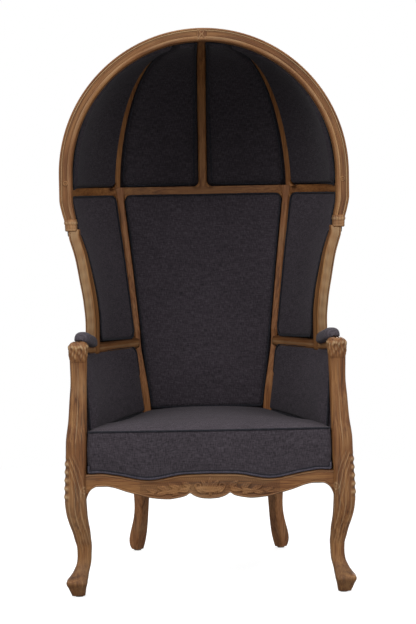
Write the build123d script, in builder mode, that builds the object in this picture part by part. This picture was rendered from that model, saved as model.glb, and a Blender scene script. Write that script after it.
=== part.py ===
from build123d import *
from math import acos, asin, atan2, cos, degrees, hypot, pi, radians, sin
import os

# Hall porter chair: a fixed armchair with a tall hood over the sitter.
# Millimetres. Origin on the floor under the middle of the chair,
# +X to the chair's left arm as seen from the front, -Y forward, +Z up.
# Pieces on the +X side are modelled and the -X ones are their mirror images.

os.makedirs("parts", exist_ok=True)

# Overall
overall_height = 1559
overall_depth = 720

# Hoop: the arched front frame of the hood
hoop_outer_radius = 406
hoop_face_width = 36
hoop_depth = 47
hoop_front_y = -175
hoop_corner = 6
groove_size = 4

# Cross rail between the hood and the back
cross_rail_height = 23
cross_rail_z = 1109
frame_depth = 36

# Hood ribs
rib_width = 25
rib_corner = 4
rib_crossing_x = 259
rib_crown_x = 72
dome_half_width = 371
dome_back_y = 325.7

# Collar between a hoop side and its stile
collar_bottom_z = 986
collar_top_z = 1026
collar_x = 375.5
collar_overhang = 1.5
collar_bead_height = 5
collar_bead_overhang = 1.5

# Hood stile, from the arm to the collar
stile_width = 31
stile_corner = 5
stile_top_x = 367
stile_top_y = -149

# Front post and cabriole leg
post_x = 355
post_top_z = 642
knee_width = 59
knee_shift = 12

# Rear upright: sabre leg and back stile in one
upright_edge = 4
upright_tuck = 28
rear_knee_size = 42
upright_foot_x = 222
upright_foot_y = 318

# Arm rail and its carved block
arm_height = 32
arm_width = 36
arm_corner = 7
arm_block_width = 56
arm_block_length = 62
arm_block_height = 55
arm_block_corner = 10
arm_mid_x = 331
arm_mid_y = -72
arm_mid_z = 653
arm_back_z = 634

# Seat frame
rail_top_z = 338
rail_bottom_z = 290
rail_thickness = 28
apron_thickness = 24
apron_face_y = -346
apron_bow = 8
apron_depth = 71
inner_rail_thickness = 22
inner_rail_height = 28
block_leg = 52
block_height = 34
block_inset = 34
lower_rail_z = 415
lower_rail_height = 40
lower_rail_depth = 18

# Glides
glide_radius = 11
glide_height = 4

# Upholstery
webbing_width = 50
webbing_thickness = 2
webbing_count = 4
webbing_pitch = 80
seat_piping_z = 449
seat_crown_height = 22
seat_crown_inset = 95
seat_front_y = -350
seat_front_half_width = 332
seat_back_half_width = 186
seat_notch_y = -285
wing_bulge_low = 12
wing_bulge_high = 44
back_hollow_low = 4
back_hollow_high = 58
hood_corner_gap = 14
side_back = 3
pad_edge_recess = 12
pad_crown = 8
pad_back = 20
cover_thickness = 7
cover_edge_thickness = 4
side_pad_thickness = 44
side_pad_edge = 26
back_pad_crown = 12
arm_pad_width = 54
arm_pad_inset = 5
arm_pad_height = 26
arm_pad_edge = 8
dust_cover_thickness = 1.5
tuck = 4
overrun = 200

# Worked out from the sizes above
hoop_inner_radius = hoop_outer_radius - hoop_face_width
hoop_centre_z = overall_height - hoop_outer_radius
hoop_back_y = hoop_front_y + hoop_depth
dome_depth = dome_back_y - hoop_back_y
dome_height = hoop_centre_z + hoop_inner_radius - cross_rail_z
half_depth = overall_depth / 2
cross_rail_top_z = cross_rail_z + cross_rail_height / 2
cross_rail_bottom_z = cross_rail_z - cross_rail_height / 2
post_y = -half_depth + knee_width / 2 + knee_shift

# Shares along the pieces: stations across a pad, stations up it, and ends of the arm panels
station_shares = (0, 0.12, 0.3, 0.5, 0.7, 0.88, 1)
height_shares = (0, 0.12, 0.35, 0.65, 0.88, 1)
wing_tuck_share = 0.012
wing_back_tuck_share = 0.04
arm_panel_shares = (0.035, 0.99)
arm_knot_share = 0.43
arm_pad_shares = [
    # place along the arm, size as shares
    (0.03, 0.70),
    (0.06, 0.94),
    (0.20, 1.00),
    (0.33, 0.96),
    (0.37, 0.80),
]
seat_crown_shares = [(0.0, 0.0), (0.4, 0.08), (0.8, 0.42), (1.0, 1.0)]

# Shape numbers of the dome: arch roundness at the hoop, at the cross rail and in side view
arch_power_shares = (2.3, 3.0)
profile_power_share = 2.3


# Value between the rows of a table whose first column is the key.
def blend(rows, key):
    for low, high in zip(rows, rows[1:]):
        if key <= high[0]:
            break
    part = (key - low[0]) / (high[0] - low[0])
    part = min(max(part, 0), 1)
    return [a + (b - a) * part for a, b in zip(low[1:], high[1:])]


# The same piece on the other side of the chair.
def mirrored(part):
    with BuildPart() as twin:
        add(mirror(part, about=Plane.YZ, mode=Mode.PRIVATE))
    return twin


# The main solid of a trimmed piece, without the crumbs of its edges.
def whole(piece):
    with BuildPart() as main:
        add(piece.part.solids().sort_by(SortBy.VOLUME)[-1])
    return main


# Label a piece and write it.
def finish(piece, node):
    piece.part.label = node
    export_step(piece.part, f"parts/{node}.step")


# Write a right-hand piece and its mirror image.
def finish_pair(piece, stem):
    finish(piece, stem + "_right")
    finish(mirrored(piece.part), stem + "_left")


# Horizontal plane at height z.
def flat(z):
    return Plane.XY.offset(z)


# Rectangle with its corners cut off.
def eased(width, depth, ease):
    x, y = width / 2, depth / 2
    right = [(x - ease, -y), (x, ease - y), (x, y - ease), (x - ease, y)]
    left = [(-a, b) for a, b in right[::-1]]
    Polygon(*right, *left, align=None)


# Frame section: rounded corners and two fine V grooves along the front face.
def moulded(x, y, width, depth, turn=0):
    with Locations(Location((x, y, 0), (0, 0, turn))):
        RectangleRounded(width, depth, hoop_corner)
        groove_x = width / 2 - hoop_corner
        with Locations((-groove_x, -depth / 2), (groove_x, -depth / 2)):
            Rectangle(groove_size, groove_size, rotation=45, mode=Mode.SUBTRACT)


# Where the frame runs

upright_shares = [
    # shares: height of its rise, x and y of its foot's place, width and depth of the rear knee; turn in degrees
    (0.000, 1.000, 1.000, 0.70, 0.70, -45),
    (0.030, 0.995, 0.990, 0.96, 0.96, -45),
    (0.095, 0.940, 0.920, 0.84, 0.84, -45),
    (0.200, 0.920, 0.800, 1.00, 1.00, -42),
    (0.300, 0.880, 0.700, 0.98, 1.00, -40),
    (0.405, 0.862, 0.650, 0.70, 0.95, -38),
    (0.500, 0.915, 0.680, 0.60, 0.92, -36),
    (0.610, 0.972, 0.745, 0.56, 0.90, -32),
    (0.790, 1.063, 0.850, 0.56, 0.90, -28),
    (0.960, 1.158, 0.885, 0.56, 0.90, -26),
    (1.000, 1.175, 0.890, 0.80, 0.92, -26),
]
# The upright in three lengths: leg, back stile and the flare under the cross rail, each by its rows
upright_lengths = ((0, 8), (7, 10), (9, 11))


# Place, width, depth and turn of the rear upright at height z.
def upright_at(z):
    share = (z - glide_height) / (cross_rail_top_z - glide_height)
    out_share, back_share, width_share, depth_share, turn = blend(upright_shares, share)
    place = Vector(upright_foot_x * out_share, upright_foot_y * back_share)
    return place, rear_knee_size * width_share, rear_knee_size * depth_share, turn


# Front edge of the rear upright towards the wing (+1) or the back pad (-1).
def upright_corner(z, side):
    place, width, depth, turn = upright_at(z)
    return place + Vector(side * width / 2, -depth / 2).rotate(Axis.Z, turn)


stile_shares = [
    # height, x, y as shares of the stile's rise, of its lean and of its sweep; last the turn in degrees
    (0.00, 0.98, 1.00, 15),
    (0.27, 1.03, 0.70, 12),
    (0.45, 0.93, 0.46, 10),
    (0.62, 0.72, 0.29, 8),
    (0.83, 0.41, 0.10, 3),
    (1.00, 0.00, 0.00, 0),
]
# Rise of the hoop side above the collar's foot, and how far it has gone out from the collar to the hoop
side_shares = [(0.00, 0.00), (0.24, 0.15), (0.42, 0.65), (0.60, 1.00), (1.00, 1.00)]
stile_bottom_z = arm_mid_z
stile_lean = 41
stile_sweep = 77


# Centre and turn of the hood stile, and of the hoop side above it, at height z.
def stile_place(z):
    if z > collar_bottom_z:
        out_share = blend(side_shares, (z - collar_bottom_z) / (hoop_centre_z - collar_bottom_z))[0]
        x = collar_x + (hoop_outer_radius - hoop_face_width / 2 - collar_x) * out_share
        return x, hoop_front_y + hoop_depth / 2, 0
    share = (z - stile_bottom_z) / (collar_bottom_z - stile_bottom_z)
    lean_share, sweep_share, turn = blend(stile_shares, share)
    return stile_top_x - stile_lean * lean_share, stile_top_y + stile_sweep * sweep_share, turn


# Centre of the arm rail and its direction, from the front post (0) to the rear upright (1).
def arm_place(share):
    end = upright_at(arm_back_z)[0]
    front = (post_x, post_y, post_top_z + arm_block_height - arm_height / 2)
    middle = (arm_mid_x, arm_mid_y, arm_mid_z)
    back = (end.X, end.Y, arm_back_z)
    knot = arm_knot_share
    low = (share - knot) * (share - 1) / knot
    mid = share * (share - 1) / (knot * (knot - 1))
    high = share * (share - knot) / (1 - knot)
    low_slope = (2 * share - knot - 1) / knot
    mid_slope = (2 * share - 1) / (knot * (knot - 1))
    high_slope = (2 * share - knot) / (1 - knot)
    place = Vector(*[a * low + b * mid + c * high for a, b, c in zip(front, middle, back)])
    way = Vector(*[a * low_slope + b * mid_slope + c * high_slope for a, b, c in zip(front, middle, back)])
    return place, way.normalized()


# Upright plane across the arm rail: x outward, y up.
def arm_plane(share):
    place, way = arm_place(share)
    level = Vector(way.X, way.Y, 0).normalized()
    outward = Vector(level.Y, -level.X, 0)
    return Plane(origin=place, x_dir=outward, z_dir=-level)


# Dome: arches in planes that turn about the springing line, like the hoops of a pram hood

# Plane through the springing line, from upright (0) to level and backward (90).
def arch_plane(angle):
    lean = radians(angle)
    return Plane(
        origin=(0, hoop_back_y, cross_rail_z),
        x_dir=(1, 0, 0),
        z_dir=(0, -cos(lean), sin(lean)),
    )


# Distance from the springing line to the middle of the arch.
def arch_reach(angle):
    lean = radians(angle)
    back = (sin(lean) / dome_depth) ** profile_power_share
    up = (cos(lean) / dome_height) ** profile_power_share
    return (back + up) ** (-1 / profile_power_share)


# Roundness of the arch: about a circle at the hoop, squarer at the cross rail.
def arch_power(angle):
    low, high = arch_power_shares
    return low + (high - low) * angle / 90


# Point of the arch in its plane: turn 0 at the springing, pi / 2 at the middle.
def arch_point(angle, turn, offset):
    power, reach = arch_power(angle), arch_reach(angle)
    x = dome_half_width * cos(turn) ** (2 / power)
    r = reach * sin(turn) ** (2 / power)
    slope_x = (x / dome_half_width) ** (power - 1) / dome_half_width
    slope_r = (r / reach) ** (power - 1) / reach
    size = hypot(slope_x, slope_r)
    return x + slope_x / size * offset, r + slope_r / size * offset


# Arch turn whose point lies x to the side of the middle.
def turn_at(angle, x):
    return acos((x / dome_half_width) ** (arch_power(angle) / 2))


# How far out the side rib crosses the arch.
def rib_side_x(angle):
    return rib_crown_x + (rib_crossing_x - rib_crown_x) * sin(radians(angle))


# Closed section between two smooth curves given by points.
def thick_arc(inner, outer):
    with BuildLine() as outline:
        Spline(*inner)
        Line(inner[-1], outer[-1])
        Spline(*outer)
        Line(outer[0], inner[0])
    make_face(outline.edges())


rib_angles = (0, 18, 36, 54, 72, 90)
pad_angles = (0, 16, 38, 62, 80, 90)


# Crown of a pad: 0 at its edges, 1 in the middle.
def swell(share, sharp=4):
    return 1 - abs(2 * share - 1) ** sharp


# Front post and cabriole leg

leg_shares = [
    # height, shift out along the diagonal, width, corner as shares
    (0.000, 0.75, 0.56, 0.34),
    (0.016, 0.83, 0.76, 0.36),
    (0.055, 0.92, 0.94, 0.38),
    (0.105, -0.05, 0.74, 0.36),
    (0.165, -0.65, 0.64, 0.34),
    (0.270, -0.05, 0.80, 0.30),
    (0.357, 0.88, 0.95, 0.26),
    (0.430, 1.00, 1.00, 0.24),
    (0.515, 0.95, 0.98, 0.22),
    (0.580, 0.80, 0.97, 0.20),
    (0.650, 0.70, 0.96, 0.18),
    (0.740, 0.35, 0.85, 0.16),
    (0.870, 0.00, 0.77, 0.15),
    (1.000, 0.00, 0.80, 0.15),
]
# The leg in two lengths, up to the knee's top and the post above it, each by its rows
leg_lengths = ((0, 11), (10, 14))
with BuildPart() as front_leg:
    for first, last in leg_lengths:
        for height_share, shift_share, width_share, corner_share in leg_shares[first:last]:
            shift = knee_shift * shift_share
            width = knee_width * width_share
            with BuildSketch(flat(glide_height + (post_top_z - glide_height) * height_share)):
                with Locations((post_x + shift, post_y - shift)):
                    RectangleRounded(width, width, width * corner_share)
        loft()

# Rear upright

with BuildPart() as rear_upright:
    for first, last in upright_lengths:
        for row in upright_shares[first:last]:
            z = glide_height + (cross_rail_top_z - glide_height) * row[0]
            place, width, depth, turn = upright_at(z)
            with BuildSketch(flat(z)):
                with Locations(Location((place.X, place.Y, 0), (0, 0, turn))):
                    eased(width, depth, upright_edge)
        loft()

# Arm rail with its front block

with BuildPart() as arm_rail:
    for share in (0, 0.2, 0.43, 0.62, 0.82, 1.0):
        with BuildSketch(arm_plane(share)):
            eased(arm_width, arm_height, arm_corner)
    loft()
    with BuildSketch(flat(post_top_z)):
        with Locations((post_x, post_y)):
            RectangleRounded(arm_block_width, arm_block_length, arm_block_corner)
    block = extrude(amount=arm_block_height)
    fillet(block.faces().sort_by(Axis.Z)[-1].edges(), arm_block_corner / 2)
    add(rear_upright.part, mode=Mode.SUBTRACT)

# Hood stile with its carved collar

with BuildPart() as hood_stile:
    for share, *_ in stile_shares:
        z = stile_bottom_z + (collar_bottom_z - stile_bottom_z) * share
        x, y, turn = stile_place(z)
        with BuildSketch(flat(z)):
            with Locations(Location((x, y, 0), (0, 0, turn))):
                eased(stile_width, hoop_depth, stile_corner)
    loft()
    collar_width = stile_width + 2 * collar_overhang
    collar_depth = hoop_depth + 2 * collar_overhang
    with BuildSketch(flat(collar_bottom_z)):
        with Locations((collar_x, hoop_front_y + hoop_depth / 2)):
            RectangleRounded(collar_width, collar_depth, stile_corner)
    extrude(amount=collar_top_z - collar_bottom_z)
    for bead_z in (collar_bottom_z, collar_top_z - collar_bead_height):
        with BuildSketch(flat(bead_z)):
            with Locations((collar_x, hoop_front_y + hoop_depth / 2)):
                bead_size = 2 * collar_bead_overhang
                RectangleRounded(collar_width + bead_size, collar_depth + bead_size, stile_corner)
        extrude(amount=collar_bead_height)
    add(arm_rail.part, mode=Mode.SUBTRACT)

# Hoop side, from the collar to the springing of the arch

with BuildPart() as hoop_side:
    for share in (0, 0.2, 0.5, 1):
        z = collar_top_z + (hoop_centre_z - collar_top_z) * share
        x, y, _ = stile_place(z)
        width = stile_width + (hoop_face_width - stile_width) * share
        with BuildSketch(flat(z)):
            moulded(x, y, width, hoop_depth)
    loft()

# Hoop half: a moulded quarter ring

with BuildPart() as hoop:
    with BuildSketch(flat(hoop_centre_z)):
        hoop_mid_radius = hoop_outer_radius - hoop_face_width / 2
        moulded(hoop_mid_radius, hoop_front_y + hoop_depth / 2, hoop_face_width, hoop_depth)
    revolve(axis=Axis((0, 0, hoop_centre_z), (0, -1, 0)), revolution_arc=90)

# Cross rail: one bent line in three lengths


# Plan of the cross rail from side to side, by points.
def rail_curve(offset):
    turns = [pi / 2 * share for share in (0, 0.1, 0.25, 0.42, 0.6, 0.8, 1)]
    half = [arch_point(90, turn, offset) for turn in turns]
    half = [(x, hoop_back_y + r) for x, r in half]
    return half + [(-x, y) for x, y in half[-2::-1]]


with BuildPart() as cross_rail:
    with BuildSketch(flat(cross_rail_bottom_z)):
        thick_arc(rail_curve(0), rail_curve(frame_depth))
    extrude(amount=cross_rail_height)

with BuildPart() as cross_rail_back:
    add(cross_rail.part)
    split(bisect_by=Plane.YZ.offset(rib_crossing_x), keep=Keep.BOTTOM)
    split(bisect_by=Plane.YZ.offset(-rib_crossing_x), keep=Keep.TOP)
    for upright in (rear_upright, mirrored(rear_upright.part)):
        add(upright.part, mode=Mode.SUBTRACT)

with BuildPart() as cross_rail_side:
    add(cross_rail.part)
    split(bisect_by=Plane.YZ.offset(rib_crossing_x), keep=Keep.TOP)
    add(rear_upright.part, mode=Mode.SUBTRACT)

# Hood ribs


# Rounded rectangle that stands on the arch, square to it.
def rib_section(angle, x, width):
    turn = turn_at(angle, x)
    low = arch_point(angle, turn, 0)
    high = arch_point(angle, turn, frame_depth)
    tilt = degrees(atan2(high[1] - low[1], high[0] - low[0])) - 90
    middle = ((low[0] + high[0]) / 2, (low[1] + high[1]) / 2)
    with BuildSketch(arch_plane(angle)) as section:
        with Locations(Location((middle[0], middle[1], 0), (0, 0, tilt))):
            eased(width, frame_depth, rib_corner)
    return section.sketch


with BuildPart() as hood_rib_side:
    loft([rib_section(angle, rib_side_x(angle), rib_width) for angle in rib_angles])
    split(bisect_by=flat(cross_rail_top_z), keep=Keep.TOP)

with BuildPart() as hood_rib_centre:
    loft([rib_section(angle, 0, rib_width) for angle in rib_angles])
    split(bisect_by=flat(cross_rail_top_z), keep=Keep.TOP)

# Seat frame


# Plan line of the side seat rail: behind the front leg to the rear upright.
def side_rail_ends():
    return Vector(post_x, post_y), upright_at((rail_top_z + rail_bottom_z) / 2)[0]


# Serpentine edges of the apron: place from its middle and drop from the rail's top, as shares
apron_top_shares = [(0.00, 0.02), (0.19, 0.04), (0.47, 0.24), (0.72, 0.03), (0.85, -0.05), (1.00, 0.00)]
apron_lobe_shares = [(0.00, 1.00), (0.085, 0.95), (0.155, 0.78)]
apron_belly_shares = [
    (0.155, 0.78),
    (0.20, 0.90),
    (0.32, 1.00),
    (0.44, 0.95),
    (0.64, 0.69),
    (0.75, 0.51),
    (0.85, 0.46),
    (1.00, 0.66),
]


# Points of an apron edge from the middle outwards on one side.
def apron_points(shares, side):
    return [(side * post_x * out, rail_top_z - apron_depth * drop) for out, drop in shares]


apron_top_points = apron_points(apron_top_shares, -1)[::-1] + apron_points(apron_top_shares[1:], 1)
with BuildPart() as front_seat_rail:
    with BuildSketch(Plane.XZ.offset(-apron_face_y - 2 * apron_thickness)):
        with BuildLine():
            Spline(*apron_top_points)
            belly, far_belly = apron_points(apron_belly_shares, 1), apron_points(apron_belly_shares, -1)
            Line(apron_top_points[-1], belly[-1])
            Spline(*belly)
            Spline(*apron_points(apron_lobe_shares[::-1], 1), *apron_points(apron_lobe_shares[1:], -1))
            Spline(*far_belly)
            Line(far_belly[-1], apron_top_points[0])
        make_face()
    extrude(amount=4 * apron_thickness)
    with BuildSketch(flat(rail_bottom_z - overrun)):
        with BuildLine():
            ThreePointArc((-post_x, apron_face_y), (0, apron_face_y - apron_bow), (post_x, apron_face_y))
            Line((post_x, apron_face_y), (post_x, apron_face_y + apron_thickness))
            Line((post_x, apron_face_y + apron_thickness), (-post_x, apron_face_y + apron_thickness))
            Line((-post_x, apron_face_y + apron_thickness), (-post_x, apron_face_y))
        make_face()
    extrude(amount=2 * overrun, mode=Mode.INTERSECT)
    for leg in (front_leg, mirrored(front_leg.part)):
        add(leg.part, mode=Mode.SUBTRACT)

inner_rail_front_y = apron_face_y + apron_thickness

with BuildPart() as inner_front_rail:
    with BuildSketch(flat(rail_top_z - inner_rail_height)):
        with Locations((0, inner_rail_front_y + inner_rail_thickness / 2)):
            Rectangle(2 * post_x, inner_rail_thickness)
    extrude(amount=inner_rail_height)
    for leg in (front_leg, mirrored(front_leg.part)):
        add(leg.part, mode=Mode.SUBTRACT)

with BuildPart() as side_seat_rail:
    front_end, back_end = side_rail_ends()
    run = back_end - front_end
    heading = degrees(atan2(run.Y, run.X))
    centre = (front_end + back_end) * 0.5
    with BuildSketch(flat(rail_bottom_z)):
        with Locations(Location((centre.X, centre.Y, 0), (0, 0, heading))):
            Rectangle(run.length, rail_thickness)
    extrude(amount=rail_top_z - rail_bottom_z)
    add(front_leg.part, mode=Mode.SUBTRACT)
    add(rear_upright.part, mode=Mode.SUBTRACT)
    add(inner_front_rail.part, mode=Mode.SUBTRACT)

with BuildPart() as back_seat_rail:
    with BuildSketch(flat(rail_bottom_z)):
        with Locations((0, back_end.Y)):
            Rectangle(2 * back_end.X, rail_thickness)
    extrude(amount=rail_top_z - rail_bottom_z)
    for upright in (rear_upright, mirrored(rear_upright.part)):
        add(upright.part, mode=Mode.SUBTRACT)
    for rail in (side_seat_rail, mirrored(side_seat_rail.part)):
        add(rail.part, mode=Mode.SUBTRACT)

lower_rail_end = upright_at(lower_rail_z)[0]
lower_rail_y = upright_corner(lower_rail_z, -1).Y + pad_back - lower_rail_depth / 2
seat_back_y = lower_rail_y - lower_rail_depth / 2

with BuildPart() as lower_back_rail:
    with BuildSketch(flat(lower_rail_z - lower_rail_height / 2)):
        with Locations((0, lower_rail_y)):
            Rectangle(2 * lower_rail_end.X, lower_rail_depth)
    extrude(amount=lower_rail_height)
    for upright in (rear_upright, mirrored(rear_upright.part)):
        add(upright.part, mode=Mode.SUBTRACT)

pairs = [
    (front_leg, "front_leg"),
    (rear_upright, "rear_upright"),
    (arm_rail, "arm_rail"),
    (hood_stile, "hood_stile"),
    (hoop_side, "hoop_side"),
    (hoop, "hoop"),
    (cross_rail_side, "cross_rail"),
    (hood_rib_side, "hood_rib"),
    (side_seat_rail, "side_seat_rail"),
]

# Corner blocks, glides, webbing and dust cover

with BuildPart() as corner_blocks:
    inner_rail_back_y = inner_rail_front_y + inner_rail_thickness
    block_z = (rail_top_z + rail_bottom_z - block_height) / 2
    along = (back_end - front_end).normalized()
    front_corner = Vector(post_x - block_inset, inner_rail_back_y, 0)
    front_tip = front_end + along * (block_leg * 2)
    back_corner = Vector(back_end.X, back_end.Y - rail_thickness / 2, 0)
    back_tip = back_end - along * (block_leg * 2)
    triangles = (
        (front_corner, front_corner - Vector(block_leg * 2, 0, 0), front_tip),
        (back_corner, back_corner - Vector(block_leg * 2, 0, 0), back_tip),
    )
    with BuildSketch(flat(block_z)):
        for triangle in triangles:
            Polygon(*[(point.X, point.Y) for point in triangle], align=None)
    extrude(amount=block_height)
    mirror(about=Plane.YZ)
    for side_piece in (front_leg, rear_upright, side_seat_rail):
        add(side_piece.part, mode=Mode.SUBTRACT)
        add(mirrored(side_piece.part).part, mode=Mode.SUBTRACT)

with BuildPart() as glides:
    foot_share = leg_shares[0][1]
    front_foot = (post_x + knee_shift * foot_share, post_y - knee_shift * foot_share)
    feet = [front_foot, (upright_foot_x, upright_foot_y)]
    feet += [(-x, y) for x, y in feet]
    with BuildSketch(flat(0)):
        with Locations(*feet):
            Circle(glide_radius)
    extrude(amount=glide_height)

with BuildPart() as seat_webbing:
    inner_y = inner_rail_front_y
    length = back_end.Y + rail_thickness / 2 - inner_y
    with BuildSketch(flat(rail_top_z)):
        for index in range(webbing_count):
            x = (index - (webbing_count - 1) / 2) * webbing_pitch
            with Locations((x, inner_y + length / 2)):
                Rectangle(webbing_width, length)
    extrude(amount=webbing_thickness)
    for index in range(webbing_count):
        share = (index + 1) / (webbing_count + 1)
        cross = front_end + (back_end - front_end) * share
        with BuildSketch(flat(rail_top_z + webbing_thickness)):
            with Locations((0, cross.Y)):
                Rectangle(2 * cross.X, webbing_width)
        extrude(amount=webbing_thickness)

with BuildPart() as dust_cover:
    with BuildSketch(flat(rail_bottom_z - dust_cover_thickness)):
        front_x, back_x = front_end.X - rail_thickness / 2, back_end.X - rail_thickness / 2
        front_edge_y = inner_rail_front_y + inner_rail_thickness / 2
        Polygon(
            (front_x, front_edge_y),
            (back_x, back_end.Y),
            (-back_x, back_end.Y),
            (-front_x, front_edge_y),
            align=None,
        )
    extrude(amount=dust_cover_thickness)
    for side_piece in (front_leg, rear_upright):
        add(side_piece.part, mode=Mode.SUBTRACT)
        add(mirrored(side_piece.part).part, mode=Mode.SUBTRACT)

# Hood pads and covers


# Arch turn at a rib's side face, a tuck inside it.
def beside_rib(angle, x, side):
    turn = turn_at(angle, x)
    low, high = arch_point(angle, turn, 0), arch_point(angle, turn, frame_depth)
    level_share = (high[1] - low[1]) / frame_depth
    return turn_at(angle, x + side * (rib_width / 2 - tuck) * level_share)


# Section of a hood panel between two arch turns, with its crown.
def hood_section(angle, turns, inner, outer):
    first, last = turns
    along = swell(angle / 90)
    inner_points, outer_points = [], []
    for share in station_shares:
        turn = first + (last - first) * share
        rise = swell(share) * along
        inner_points.append(arch_point(angle, turn, inner[0] + (inner[1] - inner[0]) * rise))
        outer_points.append(arch_point(angle, turn, outer[0] + (outer[1] - outer[0]) * rise))
    with BuildSketch(arch_plane(angle)) as section:
        thick_arc(inner_points, outer_points)
    return section.sketch


# Arch turns of a rear hood panel, between the centre rib and the side rib.
def back_panel_turns(angle):
    return beside_rib(angle, 0, 1), beside_rib(angle, rib_side_x(angle), -1)


# Arch turns of a front hood panel, between the side rib and the springing.
def front_panel_turns(angle):
    end = asin((hood_corner_gap / arch_reach(angle)) ** (arch_power(angle) / 2))
    return beside_rib(angle, rib_side_x(angle), 1), end


pad_offsets = ((pad_edge_recess, -pad_crown), (pad_back, pad_back))
cover_offsets = ((pad_back, pad_back), (pad_back + cover_edge_thickness, pad_back + cover_thickness))


# A hood pad or cover, trimmed by the wood round it.
def hood_panel(turns_at, offsets, neighbours):
    with BuildPart() as panel:
        loft([hood_section(angle, turns_at(angle), *offsets) for angle in pad_angles])
        split(bisect_by=flat(cross_rail_top_z), keep=Keep.TOP)
        for piece in neighbours:
            add(piece.part, mode=Mode.SUBTRACT)
    return whole(panel)


hood_pad_back = hood_panel(back_panel_turns, pad_offsets, (hood_rib_centre, hood_rib_side))
hood_pad_front = hood_panel(front_panel_turns, pad_offsets, (hood_rib_side,))
hood_cover_back = hood_panel(back_panel_turns, cover_offsets, (hood_rib_centre, hood_rib_side))
hood_cover_front = hood_panel(front_panel_turns, cover_offsets, (hood_rib_side,))

# Wings: panels between the hood stile and the rear upright


# Point of the wing's inner face at height z, from the stile (0) to the upright (1).
def wing_wall(z, share, offset):
    x, y, turn = stile_place(z)
    lean = radians(turn)
    half_width, half_depth_here = stile_width / 2, hoop_depth / 2
    front = Vector(
        x - half_width * cos(lean) - half_depth_here * sin(lean),
        y - half_width * sin(lean) + half_depth_here * cos(lean),
    )
    chord = upright_corner(z, 1) - front
    outward = Vector(chord.Y, -chord.X).normalized()
    rise_share = (z - arm_mid_z) / (cross_rail_z - arm_mid_z)
    bulge = wing_bulge_low + (wing_bulge_high - wing_bulge_low) * rise_share
    place = front + chord * share + outward * (4 * bulge * share * (1 - share))
    slope = chord + outward * (4 * bulge * (1 - 2 * share))
    normal = Vector(slope.Y, -slope.X).normalized()
    place = place + normal * offset
    return place.X, place.Y


# Level section of a wing panel; rise is its crown at this height.
def wing_section(z, rise, inner, outer):
    first, last = -wing_tuck_share, 1 + wing_back_tuck_share
    inner_points, outer_points = [], []
    for share in station_shares:
        place = first + (last - first) * share
        crown = swell(share) * rise
        inner_points.append(wing_wall(z, place, inner[0] + (inner[1] - inner[0]) * crown))
        outer_points.append(wing_wall(z, place, outer[0] + (outer[1] - outer[0]) * crown))
    with BuildSketch(flat(z)) as section:
        thick_arc(inner_points, outer_points)
    return section.sketch


# Sloping plane just above the underside of the arm rail.
def arm_underside():
    front, back = arm_place(0)[0], arm_place(1)[0]
    lift = Vector(0, 0, (tuck - arm_height) / 2)
    slope = Vector(0, back.Y - front.Y, back.Z - front.Z)
    normal = Vector(0, -slope.Z, slope.Y).normalized()
    middle = arm_place(arm_knot_share)[0]
    return Plane(origin=middle + lift, x_dir=(1, 0, 0), z_dir=normal)


# A wing pad or cover from the arm to the cross rail.
def wing_panel(offsets):
    low, high = (arm_back_z + arm_mid_z) / 2, cross_rail_bottom_z
    with BuildPart() as panel:
        sections = []
        for share in height_shares:
            z = low + (high - low) * share
            sections.append(wing_section(z, swell(share), *offsets))
        loft(sections)
        for piece in (hood_stile, hoop_side, rear_upright, arm_rail):
            add(piece.part, mode=Mode.SUBTRACT)
    return whole(panel)


wing_pad = wing_panel(pad_offsets)
wing_cover = wing_panel(cover_offsets)

# Inside arm pads and outside arm covers


# Point on the middle of the arm's side frame: rise 0 at the seat rail, 1 at the arm rail.
def arm_wall(rise, share, offset):
    low = front_end + (back_end - front_end) * share
    high, way = arm_place(share)
    place = low * (1 - rise) + high * rise
    along = (back_end - front_end).normalized() * (1 - rise) + way * rise
    normal = Vector(along.Y, -along.X).normalized()
    place = place + normal * offset
    return place.X, place.Y


# Level section of an arm panel behind the front post.
def arm_section(z, crown_share, inner, outer):
    rise = (z - rail_top_z) / (arm_mid_z - rail_top_z)
    inner_points, outer_points = [], []
    for share in station_shares:
        place = arm_panel_shares[0] + (arm_panel_shares[1] - arm_panel_shares[0]) * share
        crown = swell(share) * crown_share
        inner_points.append(arm_wall(rise, place, inner[0] + (inner[1] - inner[0]) * crown))
        outer_points.append(arm_wall(rise, place, outer[0] + (outer[1] - outer[0]) * crown))
    with BuildSketch(flat(z)) as section:
        thick_arc(inner_points, outer_points)
    return section.sketch


# A panel from near the seat rail to the underside of the arm rail.
def arm_panel(low, inner, outer):
    high = arm_mid_z
    with BuildPart() as panel:
        sections = []
        for share in height_shares:
            z = low + (high - low) * share
            sections.append(arm_section(z, swell(share), inner, outer))
        loft(sections)
        split(bisect_by=arm_underside(), keep=Keep.BOTTOM)
        for piece in (front_leg, rear_upright, arm_rail):
            add(piece.part, mode=Mode.SUBTRACT)
    return whole(panel)


deck_z = rail_top_z + 2 * webbing_thickness
side_pad = arm_panel(deck_z, (-side_pad_edge, -side_pad_thickness), (side_back, side_back))
arm_cover_offsets = (side_back + cover_edge_thickness, side_back + cover_thickness)
arm_cover = arm_panel(rail_top_z, (side_back, side_back), arm_cover_offsets)

# Arm pads

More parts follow.
